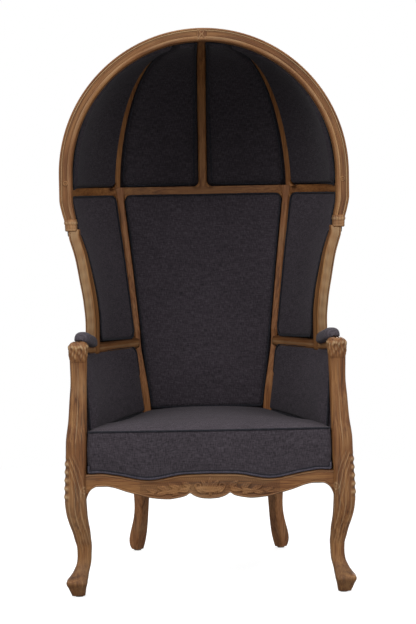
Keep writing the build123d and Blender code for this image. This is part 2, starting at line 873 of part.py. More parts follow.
with BuildPart() as arm_pad:
    sections = []
    for share, size_share in arm_pad_shares:
        half = arm_pad_width / 2 * size_share
        rise = arm_pad_height * size_share
        base = arm_height / 2
        edge = half - arm_pad_edge * size_share
        with BuildSketch(arm_plane(share)) as section:
            with BuildLine() as outline:
                low_left, low_right = (-edge - arm_pad_inset, base), (edge - arm_pad_inset, base)
                left = (-half - arm_pad_inset, base + rise / 3)
                right = (half - arm_pad_inset, base + rise / 3)
                Spline(low_left, left, (-arm_pad_inset, base + rise), right, low_right)
                Line(low_right, low_left)
            make_face(outline.edges())
        sections.append(section.sketch)
    loft(sections)
    add(arm_rail.part, mode=Mode.SUBTRACT)
    add(hood_stile.part, mode=Mode.SUBTRACT)

# Back pad and outside back cover


# Level section of the back between the uprights, hollow towards the sitter.
def back_section(z, crown_share, inner, outer):
    corner = upright_corner(z, -1)
    half, front_y = corner.X + upright_tuck, corner.Y
    rise = (z - rail_top_z) / (cross_rail_z - rail_top_z)
    hollow = back_hollow_low + (back_hollow_high - back_hollow_low) * rise
    inner_points, outer_points = [], []
    for share in station_shares:
        x = half * (2 * share - 1)
        y = front_y + hollow * swell(share, 3)
        crown = swell(share) * crown_share
        inner_points.append((x, y + inner[0] + (inner[1] - inner[0]) * crown))
        outer_points.append((x, y + outer[0] + (outer[1] - outer[0]) * crown))
    with BuildSketch(flat(z)) as section:
        thick_arc(inner_points, outer_points)
    return section.sketch


# A panel between the uprights, from a height up to the cross rail.
def back_panel(low, inner, outer):
    high = cross_rail_bottom_z
    with BuildPart() as panel:
        sections = []
        for share in height_shares:
            z = low + (high - low) * share
            sections.append(back_section(z, swell(share), inner, outer))
        loft(sections)
        for upright in (rear_upright, mirrored(rear_upright.part)):
            add(upright.part, mode=Mode.SUBTRACT)
    return whole(panel)


lower_rail_top_z = lower_rail_z + lower_rail_height / 2
back_pad = back_panel(lower_rail_top_z, (pad_edge_recess, -back_pad_crown), (pad_back, pad_back))
with BuildPart() as back_cover:
    add(back_panel(rail_top_z, *cover_offsets).part)
    add(back_pad.part, mode=Mode.SUBTRACT)

# Seat: boxed front, serpentine lower edge, crowned top


# Plan of the seat, drawn in by an inset.
def seat_outline(z, inset):
    width, front_y, back_y = seat_front_half_width - inset, seat_front_y + inset, seat_back_y - inset
    back_width, notch_y = seat_back_half_width - inset, seat_notch_y + inset
    with BuildSketch(flat(z)) as section:
        with BuildLine() as outline:
            ThreePointArc((-width, front_y), (0, front_y - apron_bow), (width, front_y))
            Line((width, front_y), (width, notch_y))
            Line((width, notch_y), (back_width, back_y))
            Line((back_width, back_y), (-back_width, back_y))
            Line((-back_width, back_y), (-width, notch_y))
            Line((-width, notch_y), (-width, front_y))
        make_face(outline.edges())
    return section.sketch


with BuildPart() as seat:
    add(extrude(seat_outline(rail_bottom_z, 0), amount=seat_piping_z - rail_bottom_z, mode=Mode.PRIVATE))
    crown = []
    for rise, inset in seat_crown_shares:
        crown.append(seat_outline(seat_piping_z + seat_crown_height * rise, seat_crown_inset * inset))
    loft(crown)
    with BuildSketch(Plane.XZ.offset(-overrun)):
        with BuildLine():
            Spline(*apron_top_points)
            Line(apron_top_points[-1], (post_x, 0))
            Line((post_x, 0), (-post_x, 0))
            Line((-post_x, 0), apron_top_points[0])
        make_face()
    extrude(amount=4 * overrun, mode=Mode.SUBTRACT)
    with BuildSketch(flat(0)):
        with Locations((0, inner_rail_front_y + 2 * overrun)):
            Rectangle(2 * post_x, 4 * overrun)
    extrude(amount=deck_z, mode=Mode.SUBTRACT)
    add(front_seat_rail.part, mode=Mode.SUBTRACT)
    for side_piece in (front_leg, rear_upright, side_pad):
        add(side_piece.part, mode=Mode.SUBTRACT)
        add(mirrored(side_piece.part).part, mode=Mode.SUBTRACT)

pairs += [
    (hood_pad_back, "hood_pad_back"),
    (hood_pad_front, "hood_pad_front"),
    (hood_cover_back, "hood_cover_back"),
    (hood_cover_front, "hood_cover_front"),
    (wing_pad, "wing_pad"),
    (wing_cover, "wing_cover"),
    (side_pad, "side_pad"),
    (arm_cover, "arm_cover"),
    (whole(arm_pad), "arm_pad"),
]
singles = [
    (cross_rail_back, "cross_rail_back"),
    (hood_rib_centre, "hood_rib_centre"),
    (front_seat_rail, "front_seat_rail"),
    (inner_front_rail, "inner_front_rail"),
    (back_seat_rail, "back_seat_rail"),
    (lower_back_rail, "lower_back_rail"),
    (corner_blocks, "corner_blocks"),
    (glides, "glides"),
    (seat_webbing, "seat_webbing"),
    (dust_cover, "dust_cover"),
    (back_pad, "back_pad"),
    (whole(back_cover), "back_cover"),
    (whole(seat), "seat"),
]
for piece, stem in pairs:
    finish_pair(piece, stem)
for piece, node in singles:
    finish(piece, node)
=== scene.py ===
import bmesh
import bpy
import numpy as np
from mathutils import Matrix, Vector


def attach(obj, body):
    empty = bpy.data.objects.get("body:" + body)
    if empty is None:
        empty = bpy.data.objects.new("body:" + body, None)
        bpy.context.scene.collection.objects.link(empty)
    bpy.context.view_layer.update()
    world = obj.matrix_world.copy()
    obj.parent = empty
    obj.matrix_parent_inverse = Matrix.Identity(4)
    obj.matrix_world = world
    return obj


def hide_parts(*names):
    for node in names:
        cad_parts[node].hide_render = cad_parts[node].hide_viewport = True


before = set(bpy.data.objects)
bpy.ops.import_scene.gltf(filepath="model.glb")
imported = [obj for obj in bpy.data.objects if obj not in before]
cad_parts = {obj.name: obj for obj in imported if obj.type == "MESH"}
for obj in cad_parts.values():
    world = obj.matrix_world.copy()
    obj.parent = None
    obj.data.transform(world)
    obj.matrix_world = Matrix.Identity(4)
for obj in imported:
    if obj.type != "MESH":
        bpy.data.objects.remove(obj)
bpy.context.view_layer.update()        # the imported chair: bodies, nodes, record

print("frame loaded:", len(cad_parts), "nodes")

mm = 0.001
quarter = np.pi / 2
sides = (("Right", 1), ("Left", -1))        # the sign of x on each side of the chair


# Arrays of points. Shapes are worked out in millimetres and turned into metres where a piece is made

def stack(*parts):
    # numbers and arrays, spread to one shape and put side by side along a new last axis
    return np.stack(np.broadcast_arrays(*parts), -1)


def unit(vectors):
    # each vector at length 1
    return vectors / np.maximum(np.linalg.norm(vectors, axis=-1, keepdims=True), 1e-9)


def running(points):
    # the length run at each point of a polyline, or of each row of a grid
    steps = np.linalg.norm(np.diff(points, axis=-2), axis=-1)
    return np.concatenate([np.zeros((*steps.shape[:-1], 1)), np.cumsum(steps, -1)], -1)


def resample(path, count):
    # count points at even steps along a polyline
    steps = running(path)
    even = np.linspace(0, steps[-1], count)
    return stack(*(np.interp(even, steps, column) for column in path.T))


def turns(count):
    # count even angles round a full turn
    return np.linspace(0, 2 * np.pi, count, endpoint=False)


def ease(value, low, high):
    # 0 up to low, 1 from high on, a straight ramp between them; it falls where high is under low
    return np.clip((value - low) / (high - low), 0, 1)


def ridge(x, width):
    # smooth hump: cos^2 inside the width, nothing outside it
    return np.where(np.abs(x) < width, np.cos(np.clip(x / width, -1, 1) * quarter) ** 2, 0)


def ringNormal(ring):
    # outward normal at each point of a closed outline that runs anticlockwise
    return unit(np.roll(ring, -1, 0) - np.roll(ring, 1, 0))[:, ::-1] * (1, -1)


def superRound(angle, power):
    # cosine, sine and radius of the rounded square |x|^p + |y|^p = 1
    c, s = np.cos(angle), np.sin(angle)
    return c, s, (np.abs(c) ** power + np.abs(s) ** power) ** (-1 / power)


def rounded(width, depth, corner, count):
    # even steps round a rectangle with quarter-circle corners, starting at the middle of its right side
    angle = np.linspace(0, quarter, 9)
    part = stack(width / 2 - corner + corner * np.cos(angle), depth / 2 - corner + corner * np.sin(angle))
    ring = np.concatenate([part, part[::-1] * (-1, 1), -part, part[::-1] * (1, -1), part[:1]])
    return resample(ring, count + 1)[:-1]


def sweep(path, side, profile, facing=None, closed=False):
    # P(i, j) = path(i) + side(i) x(j) + up(i) y(j): side is squared to the path, up is square to both and
    # turned towards facing
    way = unit(np.roll(path, -1, 0) - np.roll(path, 1, 0) if closed else np.gradient(path, axis=0))
    side = unit(side - way * np.sum(side * way, -1, keepdims=True))
    up = np.cross(side, way)
    if facing is not None:
        up *= np.where(up @ np.array(facing, float) < 0, -1, 1)[:, None]
    return path[:, None] + side[:, None] * profile[..., :1] + up[:, None] * profile[..., 1:]


def roundProfile(radius, count):
    # a circle by count points: x = r cos(t), y = r sin(t)
    return stack(np.cos(turns(count)), np.sin(turns(count))) * radius


def smoothRows(rows, key):
    # cubic through the rows, each slope the harmonic mean of its neighbours' so that nothing overshoots
    rows = np.asarray(rows, float)
    x, out = rows[:, 0], []
    k = np.clip(np.searchsorted(x, key, side="right") - 1, 0, len(x) - 2)
    h = x[k + 1] - x[k]
    t = np.clip((key - x[k]) / h, 0, 1)
    for y in rows[:, 1:].T:
        steps = np.diff(y) / np.diff(x)
        slope = np.zeros(len(x))
        both = steps[:-1] * steps[1:] > 0
        total = np.where(both, steps[:-1] + steps[1:], 1)
        slope[1:-1] = np.where(both, 2 * steps[:-1] * steps[1:] / total, 0)
        slope[0], slope[-1] = steps[0], steps[-1]
        out.append((2 * t ** 3 - 3 * t ** 2 + 1) * y[k] + (t ** 3 - 2 * t ** 2 + t) * h * slope[k]
                   + (3 * t ** 2 - 2 * t ** 3) * y[k + 1] + (t ** 3 - t ** 2) * h * slope[k + 1])
    return out


# Making pieces

def makePiece(name, points, faces, material, slot, uv, wear):
    # points (n, 3), faces: blocks of corner numbers, uv: one place per face corner, wear: one number per point,
    # carrying wear and painted light and shade
    mesh = bpy.data.meshes.new(name)
    mesh.from_pydata(points.tolist(), [], [row for block in faces for row in block.tolist()])
    mesh.uv_layers.new(name="weave").data.foreach_set("uv", np.float32(uv).ravel())
    if wear is not None:
        mesh.attributes.new("wear", "FLOAT", "POINT").data.foreach_set("value", np.float32(wear).ravel())
    # every face of the closed mesh turned outwards
    work = bmesh.new()
    work.from_mesh(mesh)
    bmesh.ops.recalc_face_normals(work, faces=work.faces)
    work.to_mesh(mesh)
    work.free()
    mesh.polygons.foreach_set("use_smooth", np.full(len(mesh.polygons), True))
    mesh.materials.append(material)
    piece = bpy.data.objects.new(name, mesh)
    bpy.context.scene.collection.objects.link(piece)
    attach(piece, "root")
    return piece


def gridPiece(name, grid, material, slot, uv=None, wear=None, caps="fan"):
    # grid P(i, j) in metres, i along the piece and j round it. Ends: "fan" closes each round its middle point,
    # "fold" joins each point of the front half to the one behind it, "ring" joins the last row to the first
    rows, cols = grid.shape[:2]
    i, j = np.meshgrid(np.arange(rows if caps == "ring" else rows - 1), np.arange(cols), indexing="ij")
    k, l = (i + 1) % rows, (j + 1) % cols
    blocks = [stack(i * cols + j, i * cols + l, k * cols + l, k * cols + j).reshape(-1, 4)]
    points = grid.reshape(-1, 3)
    if uv is None:
        around = running(np.concatenate([grid, grid[:, :1]], 1))
        uv = stack(around, running(grid.mean(1))[:, None])
    corners = [np.stack([uv[i, j], uv[i, j + 1], uv[i + 1, j + 1], uv[i + 1, j]], 2).reshape(-1, 2)]
    if wear is not None:
        wear = wear.reshape(-1)
    ahead = np.arange(cols // 2 - 1)
    fold = stack(ahead, ahead + 1, cols - 2 - ahead, cols - 1 - ahead)
    for row in () if caps == "ring" else (0, rows - 1):
        if caps == "fold":
            blocks.append(row * cols + fold)
            corners.append(uv[row, fold].reshape(-1, 2))
            continue
        ring = row * cols + np.arange(cols)
        blocks.append(stack(ring, np.roll(ring, -1), len(points)))
        points = np.concatenate([points, grid[row].mean(0)[None]])
        edge = uv[row, :cols]
        corners.append(np.stack([edge, np.roll(edge, -1, 0), edge * 0 + edge.mean(0)], 1).reshape(-1, 2))
        if wear is not None:
            wear = np.append(wear, wear[ring].mean())
    return makePiece(name, points, blocks, material, slot, np.concatenate(corners), wear)


def woodPiece(name, grid, material, wear=None, flip=1, nodes=None, uv=None, caps="fan"):
    # show wood from a grid in millimetres; flip is -1 for the left-hand twin
    if wear is not None:
        wear = np.clip(wear, 0, 1)
    piece = gridPiece(name, grid * (flip, 1, 1) * mm, material, "weathered_wood", uv, wear, caps)
    if nodes:
        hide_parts(*nodes)


def snake(name):
    # the CAD name of a piece: armRailRight stands for arm_rail_right
    return "".join("_" + letter.lower() if letter.isupper() else letter for letter in name)


# Shader nodes

def feed(tree, node, inputs):
    # sockets by name or number: a value is set, and another node's output is linked
    for key, value in inputs.items():
        if isinstance(value, bpy.types.NodeSocket):
            tree.links.new(value, node.inputs[key])
        else:
            node.inputs[key].default_value = value
    return node


def addNode(tree, kind, inputs, **values):
    # a shader node of this kind: values are its settings, inputs go to its sockets
    node = tree.nodes.new("ShaderNode" + kind)
    for key, value in values.items():
        setattr(node, key, value)
    return feed(tree, node, inputs)


def math(tree, operation, *terms):
    # the result of a Math node
    return addNode(tree, "Math", dict(enumerate(terms)), operation=operation).outputs[0]


def noise(tree, vector, scale, detail=3.0, rough=0.55, distortion=0.0):
    # the grey value of a noise texture at vector
    node = addNode(tree, "TexNoise", {
        "Vector": vector, "Scale": scale, "Detail": detail, "Roughness": rough, "Distortion": distortion})
    return node.outputs["Fac"]


def stretch(tree, vector, scale, place=(0, 0, 0), turn=(0, 0, 0)):
    # vector scaled, moved and turned
    node = addNode(tree, "Mapping", {"Vector": vector, "Scale": scale, "Location": place, "Rotation": turn})
    return node.outputs[0]


def mixColour(tree, factor, first, second, blend="MIX"):
    # first where factor is 0, second where it is 1
    inputs = {0: factor, 6: first, 7: second}
    return addNode(tree, "Mix", inputs, data_type="RGBA", blend_type=blend).outputs[2]


def rampUp(tree, value, low, high):
    # 0 at low, 1 at high
    return addNode(tree, "MapRange", {0: value, "From Min": low, "From Max": high}).outputs[0]


def colourRamp(tree, value, stops):
    # three colours, each with its place along the value: the lowest, the highest and the one between
    node = addNode(tree, "ValToRGB", {0: value})
    low, high = node.color_ramp.elements
    for element, (place, colour) in zip((low, high), stops):
        element.position, element.color = place, colour
    node.color_ramp.elements.new(stops[2][0]).color = stops[2][1]
    return node.outputs[0]


def newGroup(name, inputs, outputs):
    # a node group with its sockets, the input node's outputs and the output node
    group = bpy.data.node_groups.new(name, "ShaderNodeTree")
    for label, kind in inputs:
        group.interface.new_socket(label, in_out="INPUT", socket_type="NodeSocket" + kind)
    for label in outputs:
        group.interface.new_socket(label, in_out="OUTPUT", socket_type="NodeSocketFloat")
    return group, group.nodes.new("NodeGroupInput").outputs, group.nodes.new("NodeGroupOutput")


def newMaterial(name):
    # a material, its node tree and its Principled shader
    material = bpy.data.materials.new(name)
    material.use_nodes = True
    tree = material.node_tree
    return material, tree, tree.nodes["Principled BSDF"]


def bump(tree, height, strength, distance):
    # a normal from a height
    return addNode(tree, "Bump", {"Height": height, "Strength": strength, "Distance": distance}).outputs[0]


def hexColour(text, gain=1.0):
    # sRGB hex to the linear value that a socket holds
    parts = np.array([int(text[index:index + 2], 16) for index in (0, 2, 4)]) / 255
    linear = np.where(parts <= 0.04045, parts / 12.92, ((parts + 0.055) / 1.055) ** 2.4) * gain
    return (*np.clip(linear, 0, 1).tolist(), 1.0)


grainValues = {
    # noise stretched along the wood: its scale across twice and along, detail, roughness and distortion
    "streak": ((250, 250, 7), 5.0, 0.62, 0.5), "figure": ((48, 48, 2.6), 3.0, 0.5, 1.2),
    "pore": ((620, 620, 22), 2.0, 0.5, 0.0), "cloud": ((9, 9, 5), 3.0, 0.6, 0.6),
}


def makeGrain():
    # wood: streaks over a broader figure, pores and clouds; Along is in metres, its Z runs along the grain
    group, given, result = newGroup("woodGrain", [("Along", "Vector")], ["Streak", "Pore", "Cloud"])
    streak, figure, pore, cloud = (
        noise(group, stretch(group, given["Along"], scale), 1.0, *rest)
        for scale, *rest in grainValues.values())
    streak = math(group, "MULTIPLY_ADD", streak, 0.55, math(group, "MULTIPLY", figure, 0.45))
    feed(group, result, {"Streak": streak, "Pore": pore, "Cloud": cloud})
    return group


def makeWeave():
    # plain linen over metres of UV or object space: thread = (1 + sin x sin y) / 2, slubs from crossed noises
    group, given, result = newGroup(
        "linenWeave", [("Place", "Vector"), ("Pitch", "Float")], ["Thread", "Slub", "Height"])
    place = addNode(group, "SeparateXYZ", {0: given["Place"]}).outputs
    pace = math(group, "DIVIDE", 2 * np.pi, given["Pitch"])
    warp, weft = (math(group, "SINE", math(group, "MULTIPLY", place[axis], pace)) for axis in (0, 1))
    thread = math(group, "MULTIPLY_ADD", math(group, "MULTIPLY", warp, weft), 0.5, 0.5)
    slubWarp = noise(group, stretch(group, given["Place"], (430, 70, 60)), 1.0, 2.0, 0.6)
    slubWeft = noise(group, stretch(group, given["Place"], (70, 430, 60), (3.1, 1.7, 0.4)), 1.0, 2.0, 0.6)
    slub = math(group, "ADD", math(group, "MULTIPLY", slubWarp, 0.55), math(group, "MULTIPLY", slubWeft, 0.45))
    height = math(group, "MULTIPLY_ADD", slub, 0.8, math(group, "MULTIPLY", thread, 0.35))
    feed(group, result, {"Thread": thread, "Slub": slub, "Height": height})
    return group


grainGroup, weaveGroup = makeGrain(), makeWeave()
woodValues = {
    "tones": {"deep": "341B0A", "mid": "6E4422", "warm": "966A3E", "pale": "A88862", "lime": "C2A67F"},
    # where the dark, the warm and the middle tone lie along the streaks
    "deepAt": 0.33, "warmAt": 0.66, "midAt": 0.46,
    # hollow: the strength of the painted shade in the carving's hollows
    "limed": 0.35, "limeMost": 0.8, "hollow": 0.62, "pore": 0.45, "gloss": 0.72, "glossFall": -0.22,
    "bump": 0.35, "bumpDepth": 0.0006, "specular": 0.32,
}


def domeGrain(tree, place):
    # grain that runs round the hood: the angle in the plane YZ about its springing line, 0.39 m to a radian
    part = addNode(tree, "SeparateXYZ", {0: place}).outputs
    across, rise = math(tree, "SUBTRACT", part[1], -0.128), math(tree, "SUBTRACT", part[2], 1.08)
    square = math(tree, "ADD", math(tree, "POWER", across, 2.0), math(tree, "POWER", rise, 2.0))
    along = math(tree, "MULTIPLY", math(tree, "ARCTAN2", rise, across), 0.39)
    return addNode(tree, "CombineXYZ", {0: math(tree, "SQRT", square), 1: part[0], 2: along}).outputs[0]


def woodMaterial(name, grain, tones=None, useWearShading=False, limed=woodValues["limed"]):
    # grain: the way it runs, an axis X, Y or Z, UV along V, or DOME round the hood
    tone = {**woodValues["tones"], **(tones or {})}
    material, tree, shader = newMaterial(name)
    place = addNode(tree, "TexCoord", {}).outputs
    if grain == "UV":
        vector = stretch(tree, place["UV"], (1, 1, 1), (0, 0, 0), (quarter, 0, 0))
    elif grain == "DOME":
        vector = domeGrain(tree, place["Object"])
    else:
        turn = {"X": (0, -quarter, 0), "Y": (quarter, 0, 0), "Z": (0, 0, 0)}[grain]
        vector = stretch(tree, place["Object"], (1, 1, 1), (0.37, 0.21, 0.13), turn)
    grainNode = addNode(tree, "Group", {}, node_tree=grainGroup)
    streak, pore, cloud = feed(tree, grainNode, {"Along": vector}).outputs
    colour = colourRamp(tree, streak, (
        (woodValues["deepAt"], hexColour(tone["deep"])), (woodValues["warmAt"], hexColour(tone["warm"])),
        (woodValues["midAt"], hexColour(tone["mid"]))))
    # pale lime rubbed into patches; on carving, pale lime on the high and worn places, which also paints
    # highlights, and painted shade in the hollows
    patch = math(tree, "MULTIPLY", rampUp(tree, cloud, 0.50, 0.78), limed)
    colour = mixColour(tree, patch, colour, hexColour(tone["pale"]))
    if useWearShading:
        wornShading = addNode(tree, "Attribute", {}, attribute_name="wear").outputs["Fac"]
        patchy = math(tree, "MULTIPLY_ADD", cloud, 0.9, 0.05)
        rubbedHighlight = math(tree, "MULTIPLY", rampUp(tree, wornShading, 0.55, 1.0), patchy)
        rubbedHighlight = math(tree, "MINIMUM", rubbedHighlight, woodValues["limeMost"])
        colour = mixColour(tree, rubbedHighlight, colour, hexColour(tone["lime"]))
        hollow = math(tree, "MULTIPLY", rampUp(tree, wornShading, 0.45, 0.0), woodValues["hollow"])
        colour = mixColour(tree, hollow, colour, hexColour(tone["deep"], 0.8))
    dark = rampUp(tree, pore, 0.62, 0.72)
    pores = math(tree, "MULTIPLY", dark, woodValues["pore"])
    colour = mixColour(tree, pores, colour, hexColour(tone["deep"], 0.7))
    relief = math(tree, "SUBTRACT", streak, math(tree, "MULTIPLY", dark, 0.4))
    feed(tree, shader, {
        "Base Color": colour, "Specular IOR Level": woodValues["specular"],
        "Roughness": math(tree, "MULTIPLY_ADD", streak, woodValues["glossFall"], woodValues["gloss"]),
        "Normal": bump(tree, relief, woodValues["bump"], woodValues["bumpDepth"])})
    return material


clothValues = {
    "darkAt": 0.37, "lightAt": 0.63, "baseAt": 0.5, "roughness": 0.95, "specular": 0.2, "sheen": 0.03,
    "sheenRoughness": 0.5, "bump": 0.6, "bumpDepth": 0.0007,
}


def clothMaterial(name, base, light, dark, flat=False, pitch=0.0016, shaded=False):
    # linen on the UV, or on x and y for a flat cloth; shaded: painted light and shade, darker where the per-point
    # attribute is low
    material, tree, shader = newMaterial(name)
    place = addNode(tree, "TexCoord", {}).outputs
    vector = stretch(tree, place["Object" if flat else "UV"], (1, 1, 1), (0.11, 0.07, 0.0))
    weave = addNode(tree, "Group", {}, node_tree=weaveGroup)
    feed(tree, weave, {"Pitch": pitch, "Place": vector})
    colour = colourRamp(tree, weave.outputs["Slub"], (
        (clothValues["darkAt"], hexColour(dark)), (clothValues["lightAt"], hexColour(light)),
        (clothValues["baseAt"], hexColour(base))))
    # darker between the threads, and uneven over some 15 cm
    shades = [(weave.outputs["Thread"], 0.30, 0.82),
              (noise(tree, place["Object"], 7.0, 3.0, 0.6), 0.35, 0.83)]
    # painted light and shade from the per-point attribute, on the seat cushion
    if shaded:
        shades.append((addNode(tree, "Attribute", {}, attribute_name="wear").outputs["Fac"], 0.42, 0.76))
    for source, gain, least in shades:
        colour = mixColour(tree, 1.0, colour, math(tree, "MULTIPLY_ADD", source, gain, least), "MULTIPLY")
    feed(tree, shader, {
        "Base Color": colour, "Roughness": clothValues["roughness"],
        "Specular IOR Level": clothValues["specular"], "Sheen Weight": clothValues["sheen"],
        "Sheen Roughness": clothValues["sheenRoughness"],
        "Normal": bump(tree, weave.outputs["Height"], clothValues["bump"], clothValues["bumpDepth"])})
    return material


def metalMaterial(name, dark, light):
    # metal whose colour wanders between dark and light
    material, tree, shader = newMaterial(name)
    place = addNode(tree, "TexCoord", {}).outputs["Object"]
    colour = mixColour(tree, noise(tree, place, 300.0), hexColour(dark), hexColour(light))
    feed(tree, shader, {"Base Color": colour, "Metallic": 1.0, "Roughness": 0.42})
    return material


innerTones = {"deep": "482711", "mid": "754925", "warm": "946538", "pale": "A37B4E"}
uprightTones = {"deep": "4A2A12", "mid": "80502B", "warm": "A27146"}
frameTones = {"deep": "5B4630", "mid": "8B7250", "warm": "A58A63", "pale": "B9A37F"}
woodAcross = woodMaterial("woodAcross", "X")
woodDeep = woodMaterial("woodFrontBack", "Y")
woodDome = woodMaterial("woodRib", "DOME", innerTones, limed=0.2)
innerUp = woodMaterial("woodInnerUpright", "Z", uprightTones, limed=0.3)
innerAcross = woodMaterial("woodInnerAcross", "X", innerTones, limed=0.2)
innerDeep = woodMaterial("woodInnerDeep", "Y", innerTones, limed=0.2)
carvedWood = woodMaterial("woodCarved", "Z", useWearShading=True)
carvedAcross = woodMaterial("woodCarvedAcross", "X", useWearShading=True)
mouldedWood = woodMaterial("woodMoulded", "UV", useWearShading=True)
frameWood = woodMaterial("frameWood", "X", frameTones)
linen = clothMaterial("linen", "3B353B", "4C454C", "2B272C")
# the same linen with painted light: lighter for the arm pads
linenArm = clothMaterial("linenArm", "4B454B", "5D575D", "3A353A")
# the same linen with painted light on the seat's top and painted shade on its front band
linenCushion = clothMaterial("linenCushion", "3F393F", "524B52", "2F2A2F", shaded=True)
# the same linen with painted shade: darker for the inside of the hood
linenHood = clothMaterial("linenHood", "2F2A2F", "3E393E", "201C20")
linenCover = clothMaterial("linenCover", "363137", "474149", "28242A")
weltCloth = clothMaterial("weltCloth", "232329", "302F37", "17171B", pitch=0.0012)
bandCloth = clothMaterial("bandCloth", "45414A", "534F58", "333038", pitch=0.0012)
webbingCloth = clothMaterial("webbing", "7C6748", "93805F", "5D4B33", True, 0.003)
dustWeave = clothMaterial("dustCloth", "1C1B1D", "262528", "121113", True, 0.001)
glideMetal = metalMaterial("glideMetal", "77736C", "A8A49B")
print("materials made")

# CAD nodes that show as they are; a new piece stands for each of the others
nodeMaterials = {
    "rear_upright": innerUp, "side_seat_rail": woodDeep, "cross_rail": innerDeep,
    "cross_rail_back": innerAcross, "hood_rib": woodDome, "hood_rib_centre": woodDome,
    "inner_front_rail": frameWood, "back_seat_rail": woodAcross, "lower_back_rail": woodAcross,
    "corner_blocks": frameWood, "seat_webbing": webbingCloth, "glides": glideMetal,
}
for name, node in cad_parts.items():
    stem = name.removesuffix("_right").removesuffix("_left")
    if stem in nodeMaterials:
        node.data.materials.clear()
        node.data.materials.append(nodeMaterials[stem])
print("nodes dressed")

# Where the frame runs, in millimetres, by the same rows as the solids

# share of the stile's height, lean, sweep back and turn in degrees; share of the hoop's side, how far out
stileRows = [(0, 0.98, 1.0, 15), (0.27, 1.03, 0.70, 12), (0.45, 0.93, 0.46, 10), (0.62, 0.72, 0.29, 8),
             (0.83, 0.41, 0.10, 3), (1.0, 0, 0, 0)]
sideRows = [(0, 0), (0.24, 0.15), (0.42, 0.65), (0.6, 1.0), (1.0, 1.0)]
# share of the upright's height, shares of its place out and back, of its width and depth, its turn in degrees
uprightRows = [(0.405, 0.862, 0.650, 0.70, 0.95, -38), (0.5, 0.915, 0.680, 0.60, 0.92, -36),
               (0.61, 0.972, 0.745, 0.56, 0.90, -32), (0.79, 1.063, 0.850, 0.56, 0.90, -28),
               (0.96, 1.158, 0.885, 0.56, 0.90, -26), (1.0, 1.175, 0.890, 0.80, 0.92, -26)]
line = {
    "postX": 355, "postY": -318.5, "hoopMid": 388, "hoopY": -151.5, "hoopCentre": 1153,
    "collarX": 375.5, "collarLow": 986, "collarTop": 1026,
    "stileLow": 653, "stileX": 367, "stileLean": 41, "stileY": -149, "stileSweep": 77,
    "uprightX": 222, "uprightY": 318, "uprightSize": 42, "uprightFoot": 4, "uprightLength": 1116.5,
    "crossRail": 1109, "crossLow": 1097.5, "railTop": 338,
    "domeHalf": 371, "domeFront": -128, "domeDepth": 453.7, "domeHeight": 414,
    "domePower": 2.3, "railPower": 0.7,
    "ribFoot": 259, "ribTop": 72, "ribHalf": 12.0, "centreRib": 12.5, "sideRailEnd": (0.88892, 0.7223),
    "armFrontZ": 681, "armMid": (331, -72, 661), "armKnot": 0.43, "armBackZ": 651,
}


def stileAt(z):
    # middle and turn of the stile, and of the hoop's side above the collar
    lean, back, turn = smoothRows(stileRows, (z - line["stileLow"]) / (line["collarLow"] - line["stileLow"]))
    out, = smoothRows(sideRows, (z - line["collarLow"]) / (line["hoopCentre"] - line["collarLow"]))
    above = z > line["collarLow"]
    x = np.where(above, line["collarX"] + (line["hoopMid"] - line["collarX"]) * out,
                 line["stileX"] - line["stileLean"] * lean)
    y = np.where(above, line["hoopY"], line["stileY"] + line["stileSweep"] * back)
    return x, y, np.radians(np.where(above, 0, turn))


def uprightAt(z):
    # middle, width, depth and turn of the rear upright
    rows = np.array(uprightRows)
    share = (z - line["uprightFoot"]) / line["uprightLength"]
    out, back, width, depth, turn = (np.interp(share, rows[:, 0], column) for column in rows[:, 1:].T)
    size = line["uprightSize"]
    return line["uprightX"] * out, line["uprightY"] * back, size * width, size * depth, np.radians(turn)


def uprightEdge(z, side):
    # front edge of the upright, towards the wing (+1) or the back pad (-1)
    x, y, width, depth, turn = uprightAt(z)
    a, b = side * width / 2, -depth / 2
    return x + a * np.cos(turn) - b * np.sin(turn), y + a * np.sin(turn) + b * np.cos(turn)


def armAt(share):
    # parabola through the front post, the arm's middle and the upright
    front = np.array([line["postX"], line["postY"], line["armFrontZ"]])
    back, knot = np.array([*uprightAt(line["armBackZ"])[:2], line["armBackZ"]]), line["armKnot"]
    share = np.asarray(share, float)[..., None]
    return (front * (share - knot) * (share - 1) / knot
            + np.array(line["armMid"]) * share * (share - 1) / (knot * (knot - 1))
            + back * share * (share - knot) / (1 - knot))


def armSide(path):
    # level direction square to the arm, outwards
    side = unit(np.cross(unit(np.gradient(path, axis=0)), (0, 0, 1.0)))
    return side * np.where(side[:, :1] < 0, -1, 1)


def archReach(angle):
    # how far the hood reaches in the plane that leans back by angle: a superellipse of its depth and height
    power = line["domePower"]
    back, up = (np.sin(angle) / line["domeDepth"]) ** power, (np.cos(angle) / line["domeHeight"]) ** power
    return (back + up) ** (-1 / power)


def archPower(angle):
    # the arch's power grows evenly with the lean: domePower upright, railPower more when level
    return line["domePower"] + line["railPower"] * angle / quarter


def domePoint(angle, turn, offset):
    # arch x = a cos(t)^(2/p), r = b sin(t)^(2/p) in the plane that leans back by angle, moved along its normal
    power, reach, half = archPower(angle), archReach(angle), line["domeHalf"]
    x = half * np.maximum(np.cos(turn), 1e-6) ** (2 / power)
    r = reach * np.maximum(np.sin(turn), 1e-6) ** (2 / power)
    nx, nr = (x / half) ** (power - 1) / half, (r / reach) ** (power - 1) / reach
    size = np.hypot(nx, nr)
    x, r = x + nx / size * offset, r + nr / size * offset
    return stack(x, line["domeFront"] + r * np.sin(angle), line["crossRail"] + r * np.cos(angle))


def turnAt(angle, x):
    # the turn at which the arch lies x from the middle: cos(t)^(2/p) = x / a, solved for t
    return np.arccos(np.clip((x / line["domeHalf"]) ** (archPower(angle) / 2), 0, 1))


def ribX(angle):
    # how far out the side rib crosses the arch: from ribTop to ribFoot by the sine of the lean
    return line["ribTop"] + (line["ribFoot"] - line["ribTop"]) * np.sin(angle)


def ribEdge(angle):
    # half the width that the side rib takes up across the arch
    return line["ribHalf"] * (0.35 + 0.65 * np.sin(angle))


# Show wood

